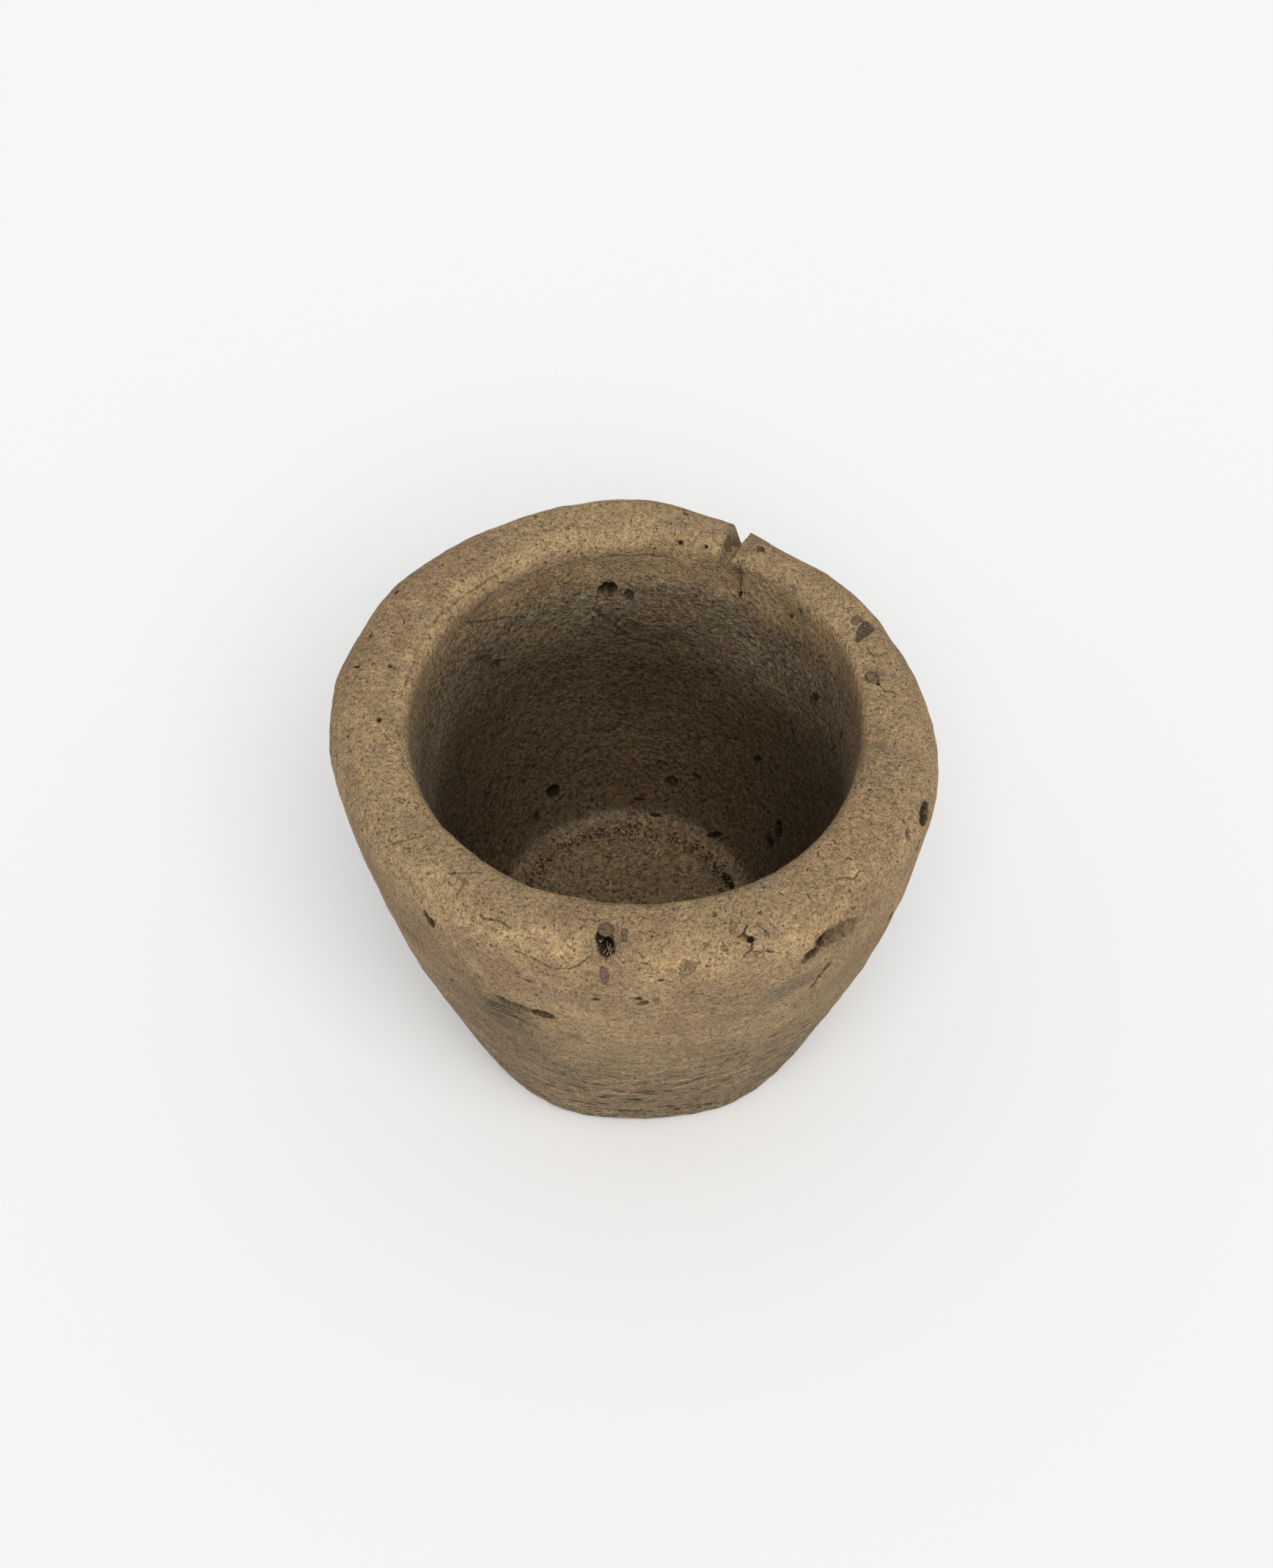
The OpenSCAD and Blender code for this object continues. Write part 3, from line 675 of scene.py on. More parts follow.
# Stains in the clay: place, length round the pot, width, turn, and shares of grey, green and ochre.
stains = [
    (on_rim(213, 15), 22, 10, 10, (0.5, 0, 0)),
    (on_rim(222, 16), 18, 9, 0, (0.45, 0, 0)),
    (on_rim(232, 17), 16, 12, 20, (0.55, 0, 0)),
    (on_rim(240, 10), 26, 12, 0, (0.4, 0, 0)),
    (on_rim(255.6, 13.5), 18, 9, 0, (0.75, 0, 0)),
    (on_rim(285.2, 7), 10, 7, 0, (0.5, 0, 0)),
    (on_rim(335.3, 14), 10, 8, 0, (0.35, 0, 0)),
    (on_rim(348.7, 9.5), 8, 12, -35, (0.8, 0.25, 0)),
    (on_rim(343.5, 5), 10, 5, 0, (0.4, 0.2, 0)),
    (on_rim(80, 16), 11, 7, 0, (0.85, 0, 0)),
    (on_rim(124, 18), 14, 9, 0, (0.6, 0, 0)),
    (on_rim(323.8, 11.5), 3.4, 3.4, 0, (1, 0.3, 0)),
    (on_rim(307, 9.2), 3.2, 3.2, 0, (1, 0.4, 0)),
    (on_rim(342.4, 14), 5, 3.4, 0, (1, 0.5, 0)),
    (on_rim(45.8, 2.6), 2.6, 2.6, 0, (1, 0.5, 0)),
    (on_shoulder(244, 52), 12, 8, 0, (0.5, 0, 0)),
    (on_shoulder(296.5, 53), 14, 9, 0, (0.55, 0, 0)),
    (on_shoulder(267.6, 16), 14, 9, 0, (0.7, 0, 0)),
    (on_wall(297.4, 169.5), 34, 16, -10, (0.95, 0.15, 0)),
    (on_wall(302, 176), 28, 13, -10, (0.9, 0.2, 0)),
    (on_wall(290, 160), 32, 12, 5, (0.8, 0.15, 0)),
    (on_wall(318, 150), 60, 50, 0, (0.45, 0.05, 0)),
    (on_wall(222, 175), 50, 40, 0, (0.3, 0.15, 0)),
    (on_wall(212, 190), 30, 26, 0, (0.3, 0.15, 0)),
    (in_bowl(55.3, 213), 8, 7, 0, (0.6, 0.3, 0)),
    (in_bowl(95, 205), 30, 14, 0, (0.5, 0.1, 0)),
    (in_bowl(70, 203), 24, 12, 0, (0.4, 0.1, 0)),
    (on_wall(219.6, 161), 24, 16, 0, (0, 0.45, 0)),
    (on_wall(235, 164), 24, 12, 0, (0, 0.4, 0)),
    (on_wall(240.9, 150), 30, 18, -8, (0.2, 0.6, 0)),
    (on_wall(243.4, 142.5), 26, 17, -8, (0.1, 0.95, 0)),
    (on_wall(240.9, 130), 30, 20, -10, (0.3, 0.5, 0)),
    (on_wall(256.2, 139), 11, 7, 0, (0.2, 0.8, 0)),
    (on_wall(259.8, 97), 16, 10, 0, (0, 0.35, 0)),
    (on_wall(234, 95), 50, 9, -6, (0.45, 0, 0)),
    (on_wall(237, 70), 46, 8, -6, (0.4, 0, 0)),
    (on_wall(236, 50), 40, 8, -4, (0.2, 0.3, 0)),
    (on_rim(353, 8), 9, 6, 20, (0.9, 0.3, 0)),
    (on_rim(346, 4), 8, 10, 30, (0.6, 0.3, 0)),
    (on_shoulder(266, 50), 24, 20, 0, (0.35, 0.1, 0)),
    (on_wall(249, 150), 20, 8, 0, (0.2, 0.3, 0)),
    # The ochre along the front shoulder is partly the clay's own colour and partly painted light where the
    # shoulder faces the lamp.
    (on_shoulder(232, 30), 60, 20, 0, (0, 0, 0.5)),
    (on_shoulder(256, 30), 60, 22, 0, (0, 0, 0.55)),
    (on_shoulder(280, 25), 60, 24, 0, (0, 0, 0.55)),
    (on_shoulder(303, 35), 50, 22, 0, (0, 0, 0.35)),
    (on_wall(236, 126), 84, 46, -8, (0.3, 0.3, 0)),
    (on_wall(241, 96), 80, 40, -6, (0.25, 0.28, 0)),
    (on_wall(232, 140), 40, 60, 0, (0.3, 0.1, 0)),
    # More ochre on the front shoulder and upper wall: partly own colour, partly painted light.
    (on_wall(239.4, 207.6), 22, 14, 0, (0, 0, 0.5)),
    (on_wall(299.5, 207), 22, 16, 0, (0, 0, 0.6)),
    (on_wall(292.4, 200), 22, 10, 0, (0, 0, 0.35)),
    (on_shoulder(252.5, 38), 24, 12, 0, (0, 0, 0.75)),
    (on_shoulder(246, 25), 18, 12, 0, (0, 0, 0.6)),
    (on_shoulder(316.5, 68), 16, 14, 0, (0, 0, 0.6)),
    (on_shoulder(278, 30), 20, 12, 0, (0, 0, 0.4)),
    (on_rim(70, 1), 36, 12, 0, (0, 0, 0.4)),
    (on_rim(100, 3), 60, 15, 0, (0, 0, 0.5)),
    (on_rim(128, 3), 60, 15, 0, (0, 0, 0.55)),
    (on_rim(155, 3), 60, 13, 0, (0, 0, 0.5)),
    (on_rim(183, 4), 60, 12, 0, (0, 0, 0.35)),
    (in_bowl(52, 205), 36, 34, 0, (0, 0, 0.45)),
    (in_bowl(30, 213), 40, 14, 0, (0, 0, 0.4)),
    (on_rim(121.6, 5), 34, 11, 0, (0, 0, 0.6)),
    (on_rim(139, 8), 30, 9, 0, (0, 0, 0.7)),
    (on_rim(156, 5), 30, 8, 0, (0, 0, 0.55)),
    (on_rim(174, 4), 30, 8, 0, (0, 0, 0.45)),
    (on_rim(108, 10), 28, 12, 0, (0, 0, 0.7)),
    (on_rim(90, 6), 30, 12, 0, (0, 0, 0.55)),
    (on_rim(186, 14), 24, 9, 0, (0, 0, 0.4)),
    (on_rim(200, 12), 26, 10, 0, (0, 0, 0.35)),
    (on_rim(52, 6), 20, 10, 0, (0, 0, 0.5)),
    (on_rim(15, 3), 24, 7, 0, (0, 0, 0.6)),
    (on_rim(28, 3), 24, 7, 0, (0, 0, 0.5)),
    (on_rim(325, 12), 24, 14, 0, (0, 0, 0.35)),
]
faded_at = 1.4
for spot, long, wide, turn, shares in stains:
    for _, _, i, out in oval(spot, long, wide, turn):
        if out < faded_at:
            stain[i, :3] += np.array(shares) * (1 - out / faded_at)

stain_layer = skin.verts.layers.float_color.new("stain")
wear_and_shade_layer = skin.verts.layers.float_color.new("wear_and_shade")
for vert, stain_shares, wear_and_shade_shares in zip(skin.verts, stain.clip(0, 1).tolist(), wear_and_shade.clip(0, 1).tolist()):
    vert[stain_layer] = stain_shares
    vert[wear_and_shade_layer] = wear_and_shade_shares


def settle(name, mesh, finish, slot):
    """Makes a piece of the object from a mesh in millimetres and ties it to the pot."""
    bmesh.ops.scale(mesh, vec=(mm, mm, mm), verts=mesh.verts)
    data = bpy.data.meshes.new(name)
    mesh.to_mesh(data)
    mesh.free()
    data.materials.append(finish)
    data.shade_smooth()
    piece = bpy.data.objects.new(name, data)
    bpy.context.collection.objects.link(piece)
    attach(piece, "root")
    return piece


class Wire:
    """A value or colour in a material; sums and products of wires add their own nodes."""

    def __init__(self, tree, socket=None):
        self.tree = tree
        self.socket = socket

    def node(self, kind, settings=None, sockets=None, output=0):
        """Adds a node with its settings, joins or sets its sockets, and gives one of its outputs."""
        made = self.tree.nodes.new("ShaderNode" + kind)
        for name, value in (settings or {}).items():
            setattr(made, name, value)
        for name, value in (sockets or {}).items():
            if isinstance(value, Wire):
                self.tree.links.new(value.socket, made.inputs[name])
            else:
                made.inputs[name].default_value = value
        return Wire(self.tree, made.outputs[output])

    def other(self, output):
        """Another output of the node that this wire leaves."""
        return Wire(self.tree, self.socket.node.outputs[output])

    def maths(self, operation, *values):
        return self.node("Math", {"operation": operation}, dict(enumerate((self, *values))))

    def __add__(self, value):
        return self.maths("ADD", value)

    __radd__ = __add__

    def __mul__(self, value):
        return self.maths("MULTIPLY", value)

    __rmul__ = __mul__

    def __sub__(self, value):
        return self.maths("SUBTRACT", value)

    def __rsub__(self, value):
        return self.node("Math", {"operation": "SUBTRACT"}, {0: value, 1: self})

    def vector(self, operation, *values):
        return self.node("VectorMath", {"operation": operation}, dict(enumerate((self, *values))))

    def scaled(self, factor):
        """This vector or colour times a value."""
        return self.node("VectorMath", {"operation": "SCALE"}, {0: self, "Scale": factor})

    def eased(self, low, high):
        """0 where the value is below low, 1 above high, and an even rise between them."""
        sockets = {0: self, 1: low, 2: high, 3: 0.0, 4: 1.0}
        return self.node("MapRange", {"interpolation_type": "SMOOTHSTEP"}, sockets)

    def between(self, low, high):
        """The colour that lies this share of the way between two others."""
        return self.node("Mix", {"data_type": "RGBA"}, {0: self, 6: low, 7: high}, 2)

    def towards(self, colour, share):
        """This colour taken towards another by a share."""
        return self.node("Mix", {"data_type": "RGBA"}, {0: share, 6: self, 7: colour}, 2)

    def mottle(self, size, detail=2.0, stretch=(1, 1, 1), shift=0.0):
        """Cloudy noise about this place, its patches so many millimetres across."""
        span = tuple(size * share for share in stretch)
        place = self.vector("DIVIDE", span).vector("ADD", (shift, shift, shift))
        return self.node("TexNoise", {}, {"Vector": place, "Detail": detail, "Scale": 1.0}, 0)

    def cells(self, spacing, shift=0.0):
        """Scattered points about so many millimetres apart: how far off the nearest is, in spacings."""
        place = self.scaled(1 / spacing).vector("ADD", (shift, shift, shift))
        return place.node("TexVoronoi", {}, {"Vector": place, "Scale": 1.0}, "Distance")

    def prints(self, spacing, long, wide, keep, shift=0.0):
        """Short straight lines in a share of the cells, as chopped straw leaves them in clay."""
        reach = self.cells(spacing, shift)
        place = self.scaled(1 / spacing).vector("ADD", (shift, shift, shift))
        away = place.vector("SUBTRACT", reach.other("Position"))
        facing = reach.other("Color").scaled(2.0).vector("SUBTRACT", (1, 1, 1)).vector("NORMALIZE")
        across = away.node("VectorMath", {"operation": "DOT_PRODUCT"}, {0: away, 1: facing}, "Value")
        line = across.maths("ABSOLUTE").eased(0.5 * wide / spacing, 0.15 * wide / spacing)
        chance = reach.other("Color").parts()[2].eased(0.98 - keep, 1 - keep)
        return line * reach.eased(0.5 * long / spacing, 0.3 * long / spacing) * chance

    def grains(self, spacing, reach, keep, shift=0.0):
        """Round specks in a share of the cells, each reaching so many millimetres."""
        away = self.cells(spacing, shift)
        chance = away.other("Color").parts()[0]
        return away.eased(reach / spacing, 0.4 * reach / spacing) * chance.eased(1 - keep, 1.02 - keep)

    def parts(self):
        """The red, green and blue shares of this colour."""
        red = self.node("SeparateColor", {}, {0: self}, 0)
        return red, red.other(1), red.other(2)


def new_finish(name, roughness, gloss):
    """A new material with its shader and the place on the piece in millimetres."""
    made = bpy.data.materials.new(name)
    made.use_nodes = True
    shader = made.node_tree.nodes["Principled BSDF"]
    shader.inputs["Roughness"].default_value = roughness
    shader.inputs["Specular IOR Level"].default_value = gloss
    place = Wire(made.node_tree).node("TexCoord", output="Object").scaled(1 / mm)
    return made, shader, place


def join(shader, name, wire):
    wire.tree.links.new(wire.socket, shader.inputs[name])


def raise_grain(shader, rise):
    """Raises the surface by a wire in millimetres."""
    join(shader, "Normal", rise.node("Bump", {}, {"Height": rise, "Strength": 1.0, "Distance": mm}))


clay_tan = (0.35, 0.24, 0.127, 1)
clay_rosy = (0.3, 0.196, 0.107, 1)
clay_ochre = (0.47, 0.322, 0.165, 1)
clay_grey = (0.25, 0.188, 0.115, 1)
# The lower wall's darker tone, partly painted shade.
low_tone_and_shade = (0.23, 0.163, 0.094, 1)
slate_stain = (0.175, 0.133, 0.09, 1)
green_stain = (0.08, 0.06, 0.035, 1)
wall_olive = (0.2, 0.152, 0.09, 1)
wall_pale = (0.37, 0.275, 0.16, 1)
# Near-black towards which painted shade and dirt take the hollows and cracks.
shade_and_dirt_brown = (0.014, 0.008, 0.004, 1)
bowl_brown = (0.19, 0.136, 0.078, 1)
bowl_grey = (0.19, 0.146, 0.092, 1)
# Dark brown of the painted shade deep in the bowl.
bowl_painted_shade = (0.088, 0.055, 0.026, 1)
floor_dust = (0.25, 0.17, 0.09, 1)
pale_grit = (0.56, 0.44, 0.27, 1)
clay, clay_shader, place = new_finish("clay", 0.92, 0.2)
grey_share, green_share, ochre_and_light_share = place.node("Attribute", {"attribute_name": "stain"}).parts()
# This attribute holds the bowl's browning, painted shade and dirt, the floor's dust, and in its alpha painted
# shade deep in the bowl.
worn_and_shaded = place.node("Attribute", {"attribute_name": "wear_and_shade"})
bowl_part, shade_and_dirt, floor_part = worn_and_shaded.parts()
painted_shade_part = worn_and_shaded.other("Alpha")
up = place.node("SeparateXYZ", {}, {0: place}, 2)
low_part = up.eased(165, 60) * (1 - bowl_part)
patches = place.mottle(48, 3.0)
clouds = place.mottle(17, 4.0, shift=11.0)
blots = place.mottle(6, 3.0, shift=23.0)
fine = place.mottle(2.4, 4.0)
grit = place.mottle(1.15, 3.0, shift=51.0)
finest = place.mottle(0.55, 2.0, shift=61.0)
streaks = place.mottle(2.4, 4.0, stretch=(6, 6, 1), shift=5.0)
dragged = place.mottle(1.7, 3.0, stretch=(1.4, 1.4, 1), shift=71.0)
ragged = fine.eased(0.36, 0.6)
wiped = low_part * (1 - floor_part)
foot_part = up.eased(42, 12) * (1 - bowl_part)

colour = patches.eased(0.42, 0.62).between(clay_tan, clay_rosy)
colour = colour.towards(clay_ochre, clouds.eased(0.5, 0.68) * 0.5)
colour = colour.towards(clay_grey, place.mottle(13, 4.0, shift=37.0).eased(0.54, 0.7) * 0.6)
# The wall grows darker and greyer towards the foot: partly the clay's own tone, partly painted shade near the
# ground.
colour = colour.towards(low_tone_and_shade, low_part * 0.7)
smears = place.mottle(5, 4.0, stretch=(4, 4, 1), shift=17.0)
colour = colour.towards(wall_olive, low_part * smears.eased(0.5, 0.6) * 0.75)
colour = colour.towards(wall_pale, low_part * smears.eased(0.46, 0.36) * 0.6)
# Ochre stains; on the front shoulder they are partly painted light.
colour = colour.towards(clay_ochre, ochre_and_light_share * (0.35 + 0.65 * blots.eased(0.35, 0.6)))
colour = colour.towards(slate_stain, grey_share * ragged * clouds.eased(0.3, 0.5))
colour = colour.towards(green_stain, green_share * (0.4 + 0.6 * streaks.eased(0.38, 0.6)))
colour = colour.towards(clouds.eased(0.4, 0.6).between(bowl_brown, bowl_grey), bowl_part * 0.92)
# Painted shade: the bowl's deep inside is taken towards a dark brown.
colour = colour.towards(bowl_painted_shade, painted_shade_part * 0.95)
colour = colour.towards(floor_dust, floor_part * (0.35 + 0.6 * blots.eased(0.3, 0.6)))

straw_prints = place.prints(5.4, 4.2, 0.5, 0.4).maths("MAXIMUM", place.prints(3.3, 2.6, 0.4, 0.35, shift=7.7))
straw_prints = straw_prints * blots.eased(0.4, 0.55)
pits = place.mottle(1.9, 2.0, shift=41.0).eased(0.62, 0.7) * blots.eased(0.44, 0.56)
pits = pits.maths("MAXIMUM", place.grains(3.1, 0.5, 0.35))
pits = pits.maths("MAXIMUM", place.mottle(2.6, 3.0, shift=47.0).eased(0.56, 0.64) * foot_part)
long_pits = place.mottle(1.5, 2.0, stretch=(3.4, 3.4, 1), shift=81.0).eased(0.57, 0.65) * wiped
paler = place.mottle(1.0, 2.0, shift=91.0).eased(0.6, 0.72)
shade = 1 + (fine - 0.5) * 1.25 + (grit - 0.5) * 1.9 + (finest - 0.5) * 1.2 + (blots - 0.5) * 0.5
shade = shade + (streaks - 0.5) * wiped * 1.6 + ((dragged - 0.5) * 1.6 + (fine - 0.5)) * bowl_part
# Straw prints and pits are darkened in the colour: painted shade in these small hollows.
shade = shade * (1 - 0.68 * straw_prints) * (1 - 0.66 * pits) * (1 - 0.6 * long_pits)
colour = colour.towards(pale_grit, paler * 0.22 * (1 - painted_shade_part))
# Hollows, cracks, beds and the notch are taken towards near-black: painted shade, with some dirt.
colour = colour.scaled(shade.maths("MAXIMUM", 0.06)).towards(shade_and_dirt_brown, shade_and_dirt * 0.92)
join(clay_shader, "Base Color", colour)

rise = (place.mottle(3.6, 3.0, shift=2.0) - 0.5) * 1.5 + (fine - 0.5) * 1.1 + (grit - 0.5) * 0.95
rise = rise + (finest - 0.5) * 0.35 + (streaks - 0.5) * wiped * 0.9
rise = rise + ((dragged - 0.5) * 1.1 + (place.mottle(7, 3.0, stretch=(1.3, 1.3, 1)) - 0.5) * 2) * bowl_part
rise = rise - straw_prints * 0.3 - pits * 0.45 - long_pits * 0.4
raise_grain(clay_shader, rise)

mortar = settle("mortar_skin", skin, clay, "clay")
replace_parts(mortar, "mortar_body")

# ---- Stones and bits of fired clay ----
# Angular lumps of crushed stone and of broken pottery, mixed into the clay as temper. The rim's wear has
# laid their broken faces open, level with the clay around them.

# A lump's rings, from its buried end up to its broken face: the share of its outline, and the height.
flake_rings = ((0.8, -2.6), (1.0, -0.5), (0.98, -0.08), (0.9, 0.08), (0.6, 0.16), (0.3, 0.16))


def flake(mesh, spot, corners, proud, rough):
    """Adds an angular lump to the mesh, sunk in the clay with its broken face showing."""
    seat = Seat(spot)
    cuts = 4
    outline = []
    for (a0, b0), (a1, b1) in zip(corners, corners[1:] + corners[:1]):
        for i in range(cuts):
            point = Vector((a0 + (a1 - a0) * i / cuts, b0 + (b1 - b0) * i / cuts, 0))
            outline.append(point + noise.noise_vector(point * 1.1 + seat.spot) * 0.3)
    middle = sum(outline, Vector()) / len(outline)
    ring = bmesh.ops.create_circle(mesh, cap_ends=True, segments=len(outline), radius=1)["verts"]
    for level, (share, rise) in enumerate(flake_rings):
        if level > 0:
            loop = [mesh.edges.get(pair) for pair in zip(ring, ring[1:] + ring[:1])]
            grown = bmesh.ops.extrude_edge_only(mesh, edges=loop)["geom"]
            fresh = {v for v in grown if isinstance(v, bmesh.types.BMVert)}
            ring = [next(e.other_vert(v) for e in v.link_edges if e.other_vert(v) in fresh) for v in ring]
        for vert, point in zip(ring, outline):
            flat = middle + (point - middle) * share
            uneven = rough * noise.noise(flat * 0.9 + seat.spot) if rise > -0.3 else 0
            vert.co = seat.place(flat.x, flat.y, proud + rise + uneven)
            vert.co.z = min(vert.co.z, height - 0.01)
    mesh.faces.new(ring)


def stone_finish(name, dark, mid, pale, grain):
    """Crushed stone or fired clay: its colour broken up by grains of that many millimetres."""
    made, shader, place = new_finish(name, 0.85, 0.25)
    tone = place.cells(grain).other("Color").parts()[0]
    soft = place.mottle(grain * 1.7, 3.0)
    speckle = place.mottle(0.6 * grain, 3.0, shift=4.0)
    colour = soft.eased(0.38, 0.62).between(dark, mid)
    colour = colour.towards(pale, tone.eased(0.7, 0.95) * 0.75)
    colour = colour.scaled(1 + (speckle - 0.5) * 2.4 + (place.mottle(0.4, 2.0) - 0.5) * 0.8)
    join(shader, "Base Color", colour)
    raise_grain(shader, (soft - 0.5) * 0.8 + (speckle - 0.5) * 0.5 + tone * 0.15)
    return made


grey_stone = stone_finish(
    "dark_stone", (0.062, 0.042, 0.026, 1), (0.125, 0.086, 0.053, 1), (0.24, 0.18, 0.115, 1), 0.8
)
brown_grog = stone_finish(
    "brown_grog", (0.12, 0.074, 0.042, 1), (0.21, 0.135, 0.078, 1), (0.33, 0.23, 0.135, 1), 0.9
)
grey_grog = stone_finish(
    "grey_grog", (0.165, 0.107, 0.058, 1), (0.27, 0.18, 0.098, 1), (0.38, 0.27, 0.15, 1), 1.1
)
hole_grog = stone_finish(
    "hole_grog", (0.105, 0.07, 0.04, 1), (0.175, 0.118, 0.067, 1), (0.26, 0.185, 0.11, 1), 0.9
)
purple_grog = stone_finish(
    "purple_grog", (0.14, 0.08, 0.058, 1), (0.18, 0.105, 0.077, 1), (0.205, 0.127, 0.092, 1), 1.2
)
pale_stone = stone_finish(
    "pale_pebble", (0.3, 0.23, 0.16, 1), (0.46, 0.37, 0.27, 1), (0.6, 0.5, 0.4, 1), 0.5
)
rosy_stone = stone_finish(
    "rosy_stone", (0.2, 0.12, 0.074, 1), (0.31, 0.195, 0.125, 1), (0.42, 0.29, 0.2, 1), 1.1
)

for node, piece, proud, rough, finish, slot in (
    ("rim_stone", "rim_stone_face", 0.2, 0.6, grey_stone, "dark_stone"),
    ("rim_grog_chip", "rim_grog_face", 0, 0.5, brown_grog, "grog"),
    ("rim_crack_chip", "crack_grog_face", -0.3, 1, brown_grog, "grog"),
    ("front_grog_chip", "front_grog_face", 0, 0.1, purple_grog, "purple_grog"),
    ("hole_chip_upper", "hole_grog_upper", 0, 0.5, hole_grog, "grog"),
    ("hole_chip_right", "hole_grog_right", 0, 0.3, hole_grog, "grog"),
    ("notch_grog_chip", "notch_grog_face", 0, 0.2, purple_grog, "purple_grog"),
    ("rim_white_pebble", "pale_pebble", 0.2, 0.1, pale_stone, "white_stone"),
):
    lump = bmesh.new()
    flake(lump, *beds[node], proud, rough)
    bmesh.ops.recalc_face_normals(lump, faces=lump.faces)
    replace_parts(settle(piece, lump, finish, slot), node)

front_lumps = bmesh.new()
for spot, corners in front_rim_beds:
    flake(front_lumps, spot, corners, 0, 0.35)
bmesh.ops.recalc_face_normals(front_lumps, faces=front_lumps.faces)
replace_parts(settle("front_rim_grog", front_lumps, grey_grog, "grog"), "front_rim_chips")

# ---- Stone in the right-hand cavity ----
# A rosy pebble that came into the clay with the temper. It still lies in the bottom of the hole that it made
# in the rim, held by the clay round its lower half and bare on top.
cavity_seat = Seat(on_shoulder(337.8, 30))
half_long, half_wide, half_deep = 3.1, 1.6, 2
turn = math.radians(15)
pebble = bmesh.new()
bmesh.ops.create_icosphere(pebble, subdivisions=4, radius=1)
for vert in pebble.verts:
    unit = vert.co.copy()
    size = 1 + 0.18 * noise.noise(unit * 1.3) + 0.07 * noise.noise(unit * 3.5)
    a, b, c = unit.x * half_long * size, unit.y * half_wide * size, unit.z * half_deep * size
    aside, over = a * math.cos(turn) - b * math.sin(turn), a * math.sin(turn) + b * math.cos(turn)
    vert.co = cavity_seat.at(aside - 0.8, over + 1.2, c - 4.2)
bmesh.ops.recalc_face_normals(pebble, faces=pebble.faces)
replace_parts(settle("cavity_pebble", pebble, rosy_stone, "pink_stone"), "cavity_stone")

# ---- Straw in the front hole ----
# Split ends of chopped wheat straw that the clay closed round before it dried. They stand in the hole,
# gripped at the bottom, with their pale cut ends near its mouth.
straw, straw_shader, place = new_finish("straw", 0.6, 0.4)
fibres = place.mottle(0.22, 2.0)
straw_dark = (0.4, 0.28, 0.13, 1)
straw_pale = (0.8, 0.65, 0.4, 1)
gold = fibres.between(straw_dark, straw_pale)
join(straw_shader, "Base Color", gold.scaled(0.85 + place.mottle(3, 2.0) * 0.4))
raise_grain(straw_shader, fibres * 0.12)


def stalk(mesh, root, tip, thick, bend):
    """Adds a short length of flattened straw between two points, bowed sideways by the bend."""
    run = tip - root
    start = len(mesh.verts)
    bmesh.ops.create_cone(mesh, cap_ends=True, segments=6, radius1=thick, radius2=0.8 * thick, depth=1)
    mesh.verts.ensure_lookup_table()
    sides = dict.fromkeys(e for v in mesh.verts[start:] for e in v.link_edges if e.calc_length() > 0.9)
    bmesh.ops.subdivide_edges(mesh, edges=list(sides), cuts=3)
    mesh.verts.ensure_lookup_table()
    turn = Vector((0, 0, 1)).rotation_difference(run.normalized())
    for vert in mesh.verts[start:]:
        t = vert.co.z + 0.5
        flat = Vector((vert.co.x, vert.co.y * 0.45, 0))
        sway = Vector((math.sin(math.pi * t) * bend, 0, 0))
        vert.co = root + run * t + turn @ (flat + sway)


hole_seat = Seat(on_shoulder(265.3, 48.5))
side_seat = Seat(on_shoulder(264.1, 60))
tuft = bmesh.new()
for seat, root, tip, thick, bend in (
    (hole_seat, (-1.2, -0.9, -11.5), (1.9, -3.1, -1.6), 0.26, 0.7),
    (hole_seat, (0.9, -1.2, -11.5), (-1.3, -3.2, -2.4), 0.24, -0.6),
    (hole_seat, (1.1, -0.6, -11.5), (2.6, -1.6, -2.6), 0.24, 0.5),
    (hole_seat, (-0.4, -1.6, -11.5), (0.4, -3.6, -1.4), 0.22, 0.5),
    (hole_seat, (-1.4, 0.4, -11.5), (0.9, -1.9, -3.4), 0.2, -0.7),
    (side_seat, (0.5, 0.6, -5.5), (0.2, -1.6, -0.2), 0.3, 0.2),
    (side_seat, (0.4, 0, -5.5), (-0.5, -0.9, -0.6), 0.22, 0.2),
):
    stalk(tuft, seat.at(*root), seat.at(*tip), thick, bend)
bmesh.ops.recalc_face_normals(tuft, faces=tuft.faces)
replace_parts(settle("hole_straw_ends", tuft, straw, "straw"), "hole_straw")

# ---- Straw on the bowl's floor ----
# Loose chaff that fell from the wall: short stalks and split flakes of dry straw, the same as in the clay.
# It lies flat in the dust, and nothing fixes it.
scatter = random.Random(11)
chaff_count = 110


def floor_height(x, y):
    """The height of the bowl's floor under a point."""
    found = whole_skin.ray_cast(Vector((x, y, height - 30)), Vector((0, 0, -1)))[0]
    return found.z if found else floor_z


chaff = bmesh.new()
for i in range(chaff_count):
    azimuth = math.radians(scatter.uniform(0, 360))
    reach = floor_r * math.sqrt(scatter.uniform(0.02, 0.96))
    middle = floor_middle + Vector((reach * math.cos(azimuth), reach * math.sin(azimuth), 0))
    heading = scatter.uniform(0, math.pi)
    long = scatter.choice((0.8, 1.0, 1.2, 1.5, 2.0, 2.6, 4.4))
    half = Vector((math.cos(heading), math.sin(heading), 0)) * long / 2
    thick = scatter.uniform(0.16, 0.3) if long < 4 else 0.34
    ends = []
    for end in (middle - half, middle + half):
        ends.append(Vector((end.x, end.y, floor_height(end.x, end.y) + thick)))
    stalk(chaff, ends[0], ends[1], thick, 0.1)
bmesh.ops.recalc_face_normals(chaff, faces=chaff.faces)
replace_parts(settle("floor_chaff", chaff, straw, "straw"), "floor_straw")

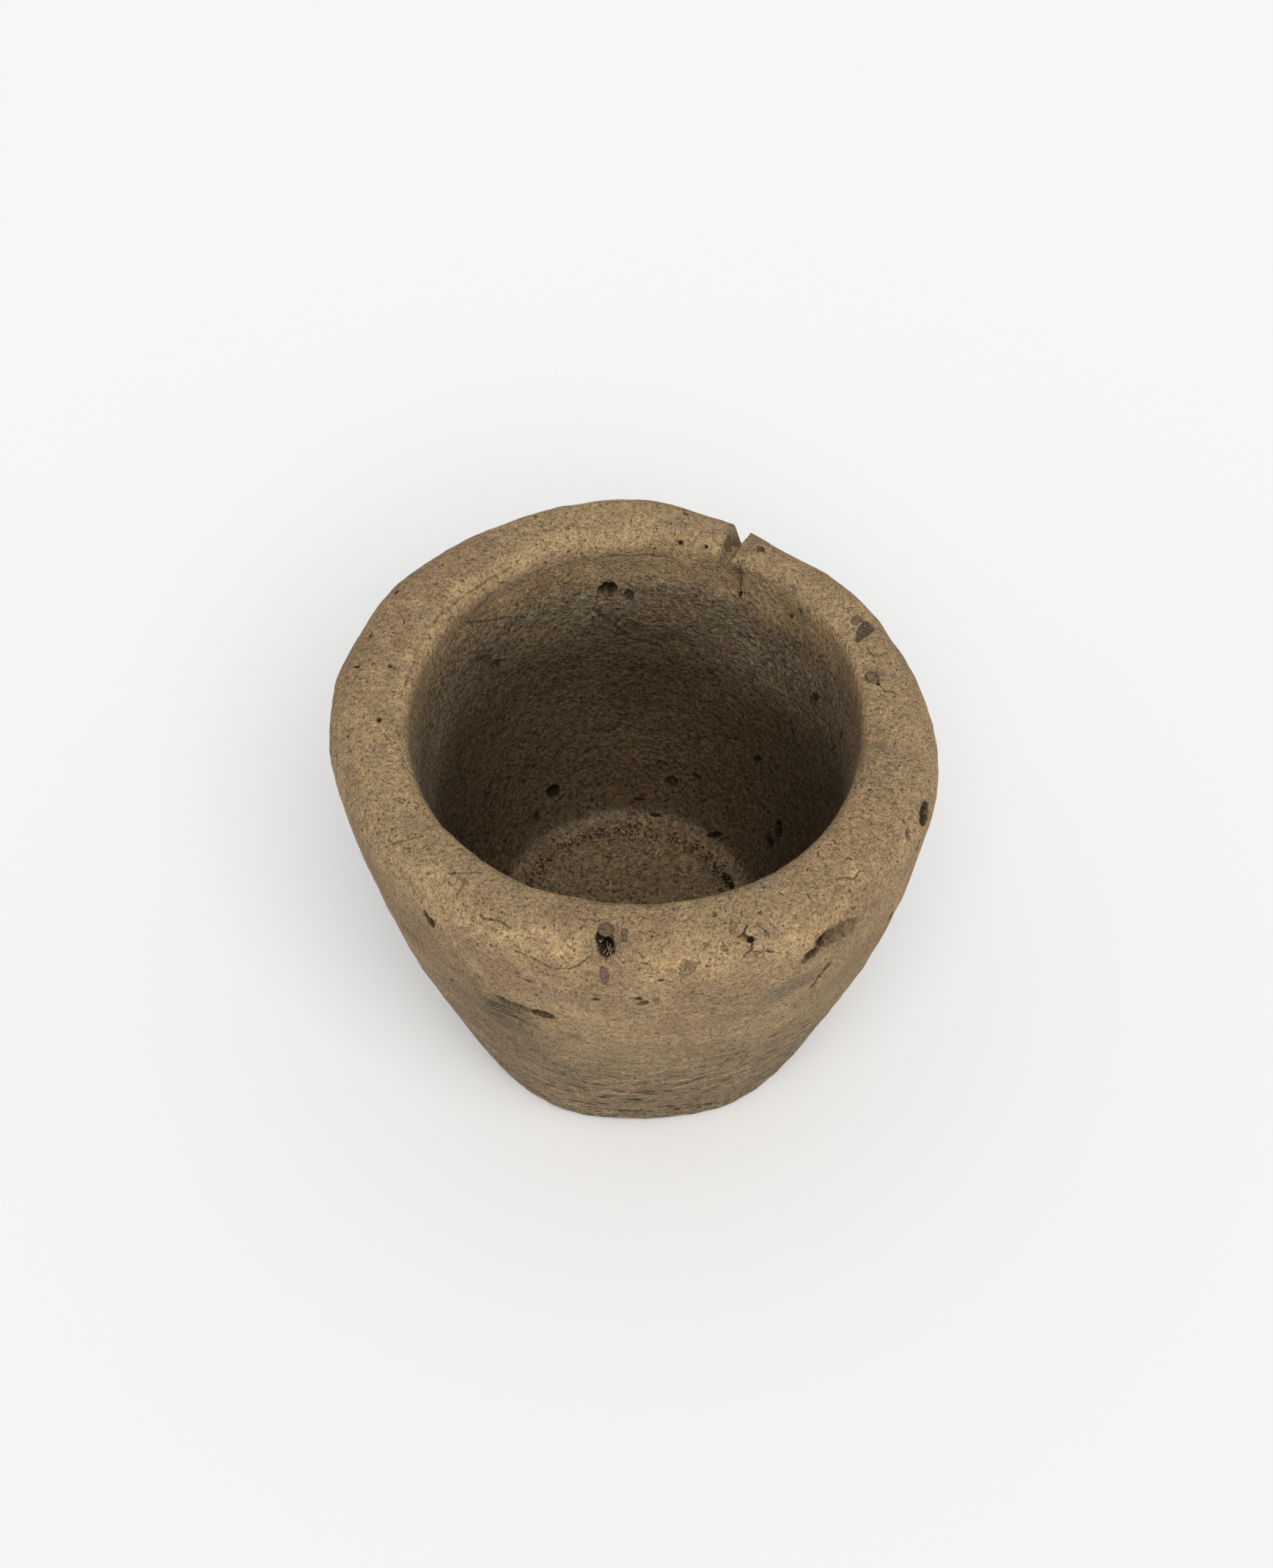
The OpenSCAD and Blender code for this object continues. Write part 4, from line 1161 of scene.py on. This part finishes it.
# ---- Crumbs round the bowl's floor ----
# Dry crumbs of clay and charred grain, dark, with a paler one here and there. Use has swept most of them into
# the angle between the floor and the wall; the rest lie over the floor, loose.
crumb_count = 2400
ring_count = 1900
crumb_finish, crumb_shader, place = new_finish("crumbs", 0.95, 0.2)
tone = place.cells(1.3).other("Color").parts()[0]
dark_crumb = (0.06, 0.038, 0.02, 1)
pale_crumb = (0.3, 0.21, 0.12, 1)
crumb_colour = tone.eased(0.62, 0.95).between(dark_crumb, pale_crumb)
join(crumb_shader, "Base Color", crumb_colour.scaled(0.7 + place.mottle(0.7, 2.0) * 0.6))
raise_grain(crumb_shader, (place.mottle(0.5, 2.0) - 0.5) * 0.4)

crumbs = bmesh.new()
for i in range(crumb_count):
    azimuth = math.radians(scatter.uniform(0, 360))
    in_ring = i < ring_count
    if in_ring:
        reach = floor_r + scatter.gauss(-3.5, 2.6)
    else:
        reach = floor_r * math.sqrt(scatter.uniform(0, 0.9))
    x = floor_middle.x + reach * math.cos(azimuth)
    y = floor_middle.y + reach * math.sin(azimuth)
    size = scatter.choice((0.26, 0.3, 0.36, 0.42, 0.52, 0.68, 0.9)) * (1 if in_ring else 0.7)
    made = bmesh.ops.create_icosphere(crumbs, subdivisions=1, radius=size)["verts"]
    rest = Vector((x, y, floor_height(x, y) + 0.45 * size))
    for vert in made:
        vert.co *= 1 + 0.35 * noise.noise(vert.co * 2 + rest)
        vert.co.z *= 0.7
        vert.co += rest
bmesh.ops.recalc_face_normals(crumbs, faces=crumbs.faces)
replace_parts(settle("floor_crumb_ring", crumbs, crumb_finish, "crumbs"), "floor_crumbs")

# ---- Ground, light and camera ----
# A plain pale ground under a wide soft sky, with one broad lamp high in front that gives
# the hollows their shaded sides. The view looks down into the bowl from the front.
ground_reach = 60
ground_mesh = bmesh.new()
bmesh.ops.create_grid(ground_mesh, x_segments=2, y_segments=2, size=ground_reach)
ground_data = bpy.data.meshes.new("ground")
ground_mesh.to_mesh(ground_data)
ground_mesh.free()
ground = bpy.data.objects.new("ground", ground_data)
bpy.context.collection.objects.link(ground)
pale_ground, ground_shader, _ = new_finish("pale_ground", 1.0, 0.0)
ground_shader.inputs["Base Color"].default_value = (0.96, 0.96, 0.96, 1)
ground_data.materials.append(pale_ground)

sky = bpy.data.worlds.new("studio")
sky.use_nodes = True
bpy.context.scene.world = sky
background = sky.node_tree.nodes["Background"]
background.inputs["Color"].default_value = (1, 1, 1, 1)
ray = Wire(sky.node_tree).node("LightPath", output="Is Camera Ray")
seen = ray.maths("MAXIMUM", ray.other("Is Glossy Ray"))
seen = seen.maths("MAXIMUM", ray.other("Is Transmission Ray"))
sky_strength = 0.47
strength = sky_strength + seen * (1 - sky_strength)
sky.node_tree.links.new(strength.socket, background.inputs["Strength"])

lamp_data = bpy.data.lights.new("broad_lamp", "SUN")
lamp_data.energy = 1.9
lamp_data.angle = math.radians(50)
lamp = bpy.data.objects.new("broad_lamp", lamp_data)
lamp.rotation_euler = Vector((0.1, -0.55, 0.8)).to_track_quat("Z", "Y").to_euler()
bpy.context.collection.objects.link(lamp)

look_at = Vector((1.93, 0, 158.7)) * mm
stand_off = 1.1
lift = math.radians(53.667)
camera_data = bpy.data.cameras.new("camera")
camera_data.lens = 51.79
camera_data.sensor_width = 36
camera = bpy.data.objects.new("camera", camera_data)
camera.location = look_at + Vector((0, -math.cos(lift), math.sin(lift))) * stand_off
camera.rotation_euler = (math.pi / 2 - lift, 0, 0)
bpy.context.collection.objects.link(camera)
bpy.context.scene.camera = camera

bpy.context.scene.view_settings.view_transform = "Standard"
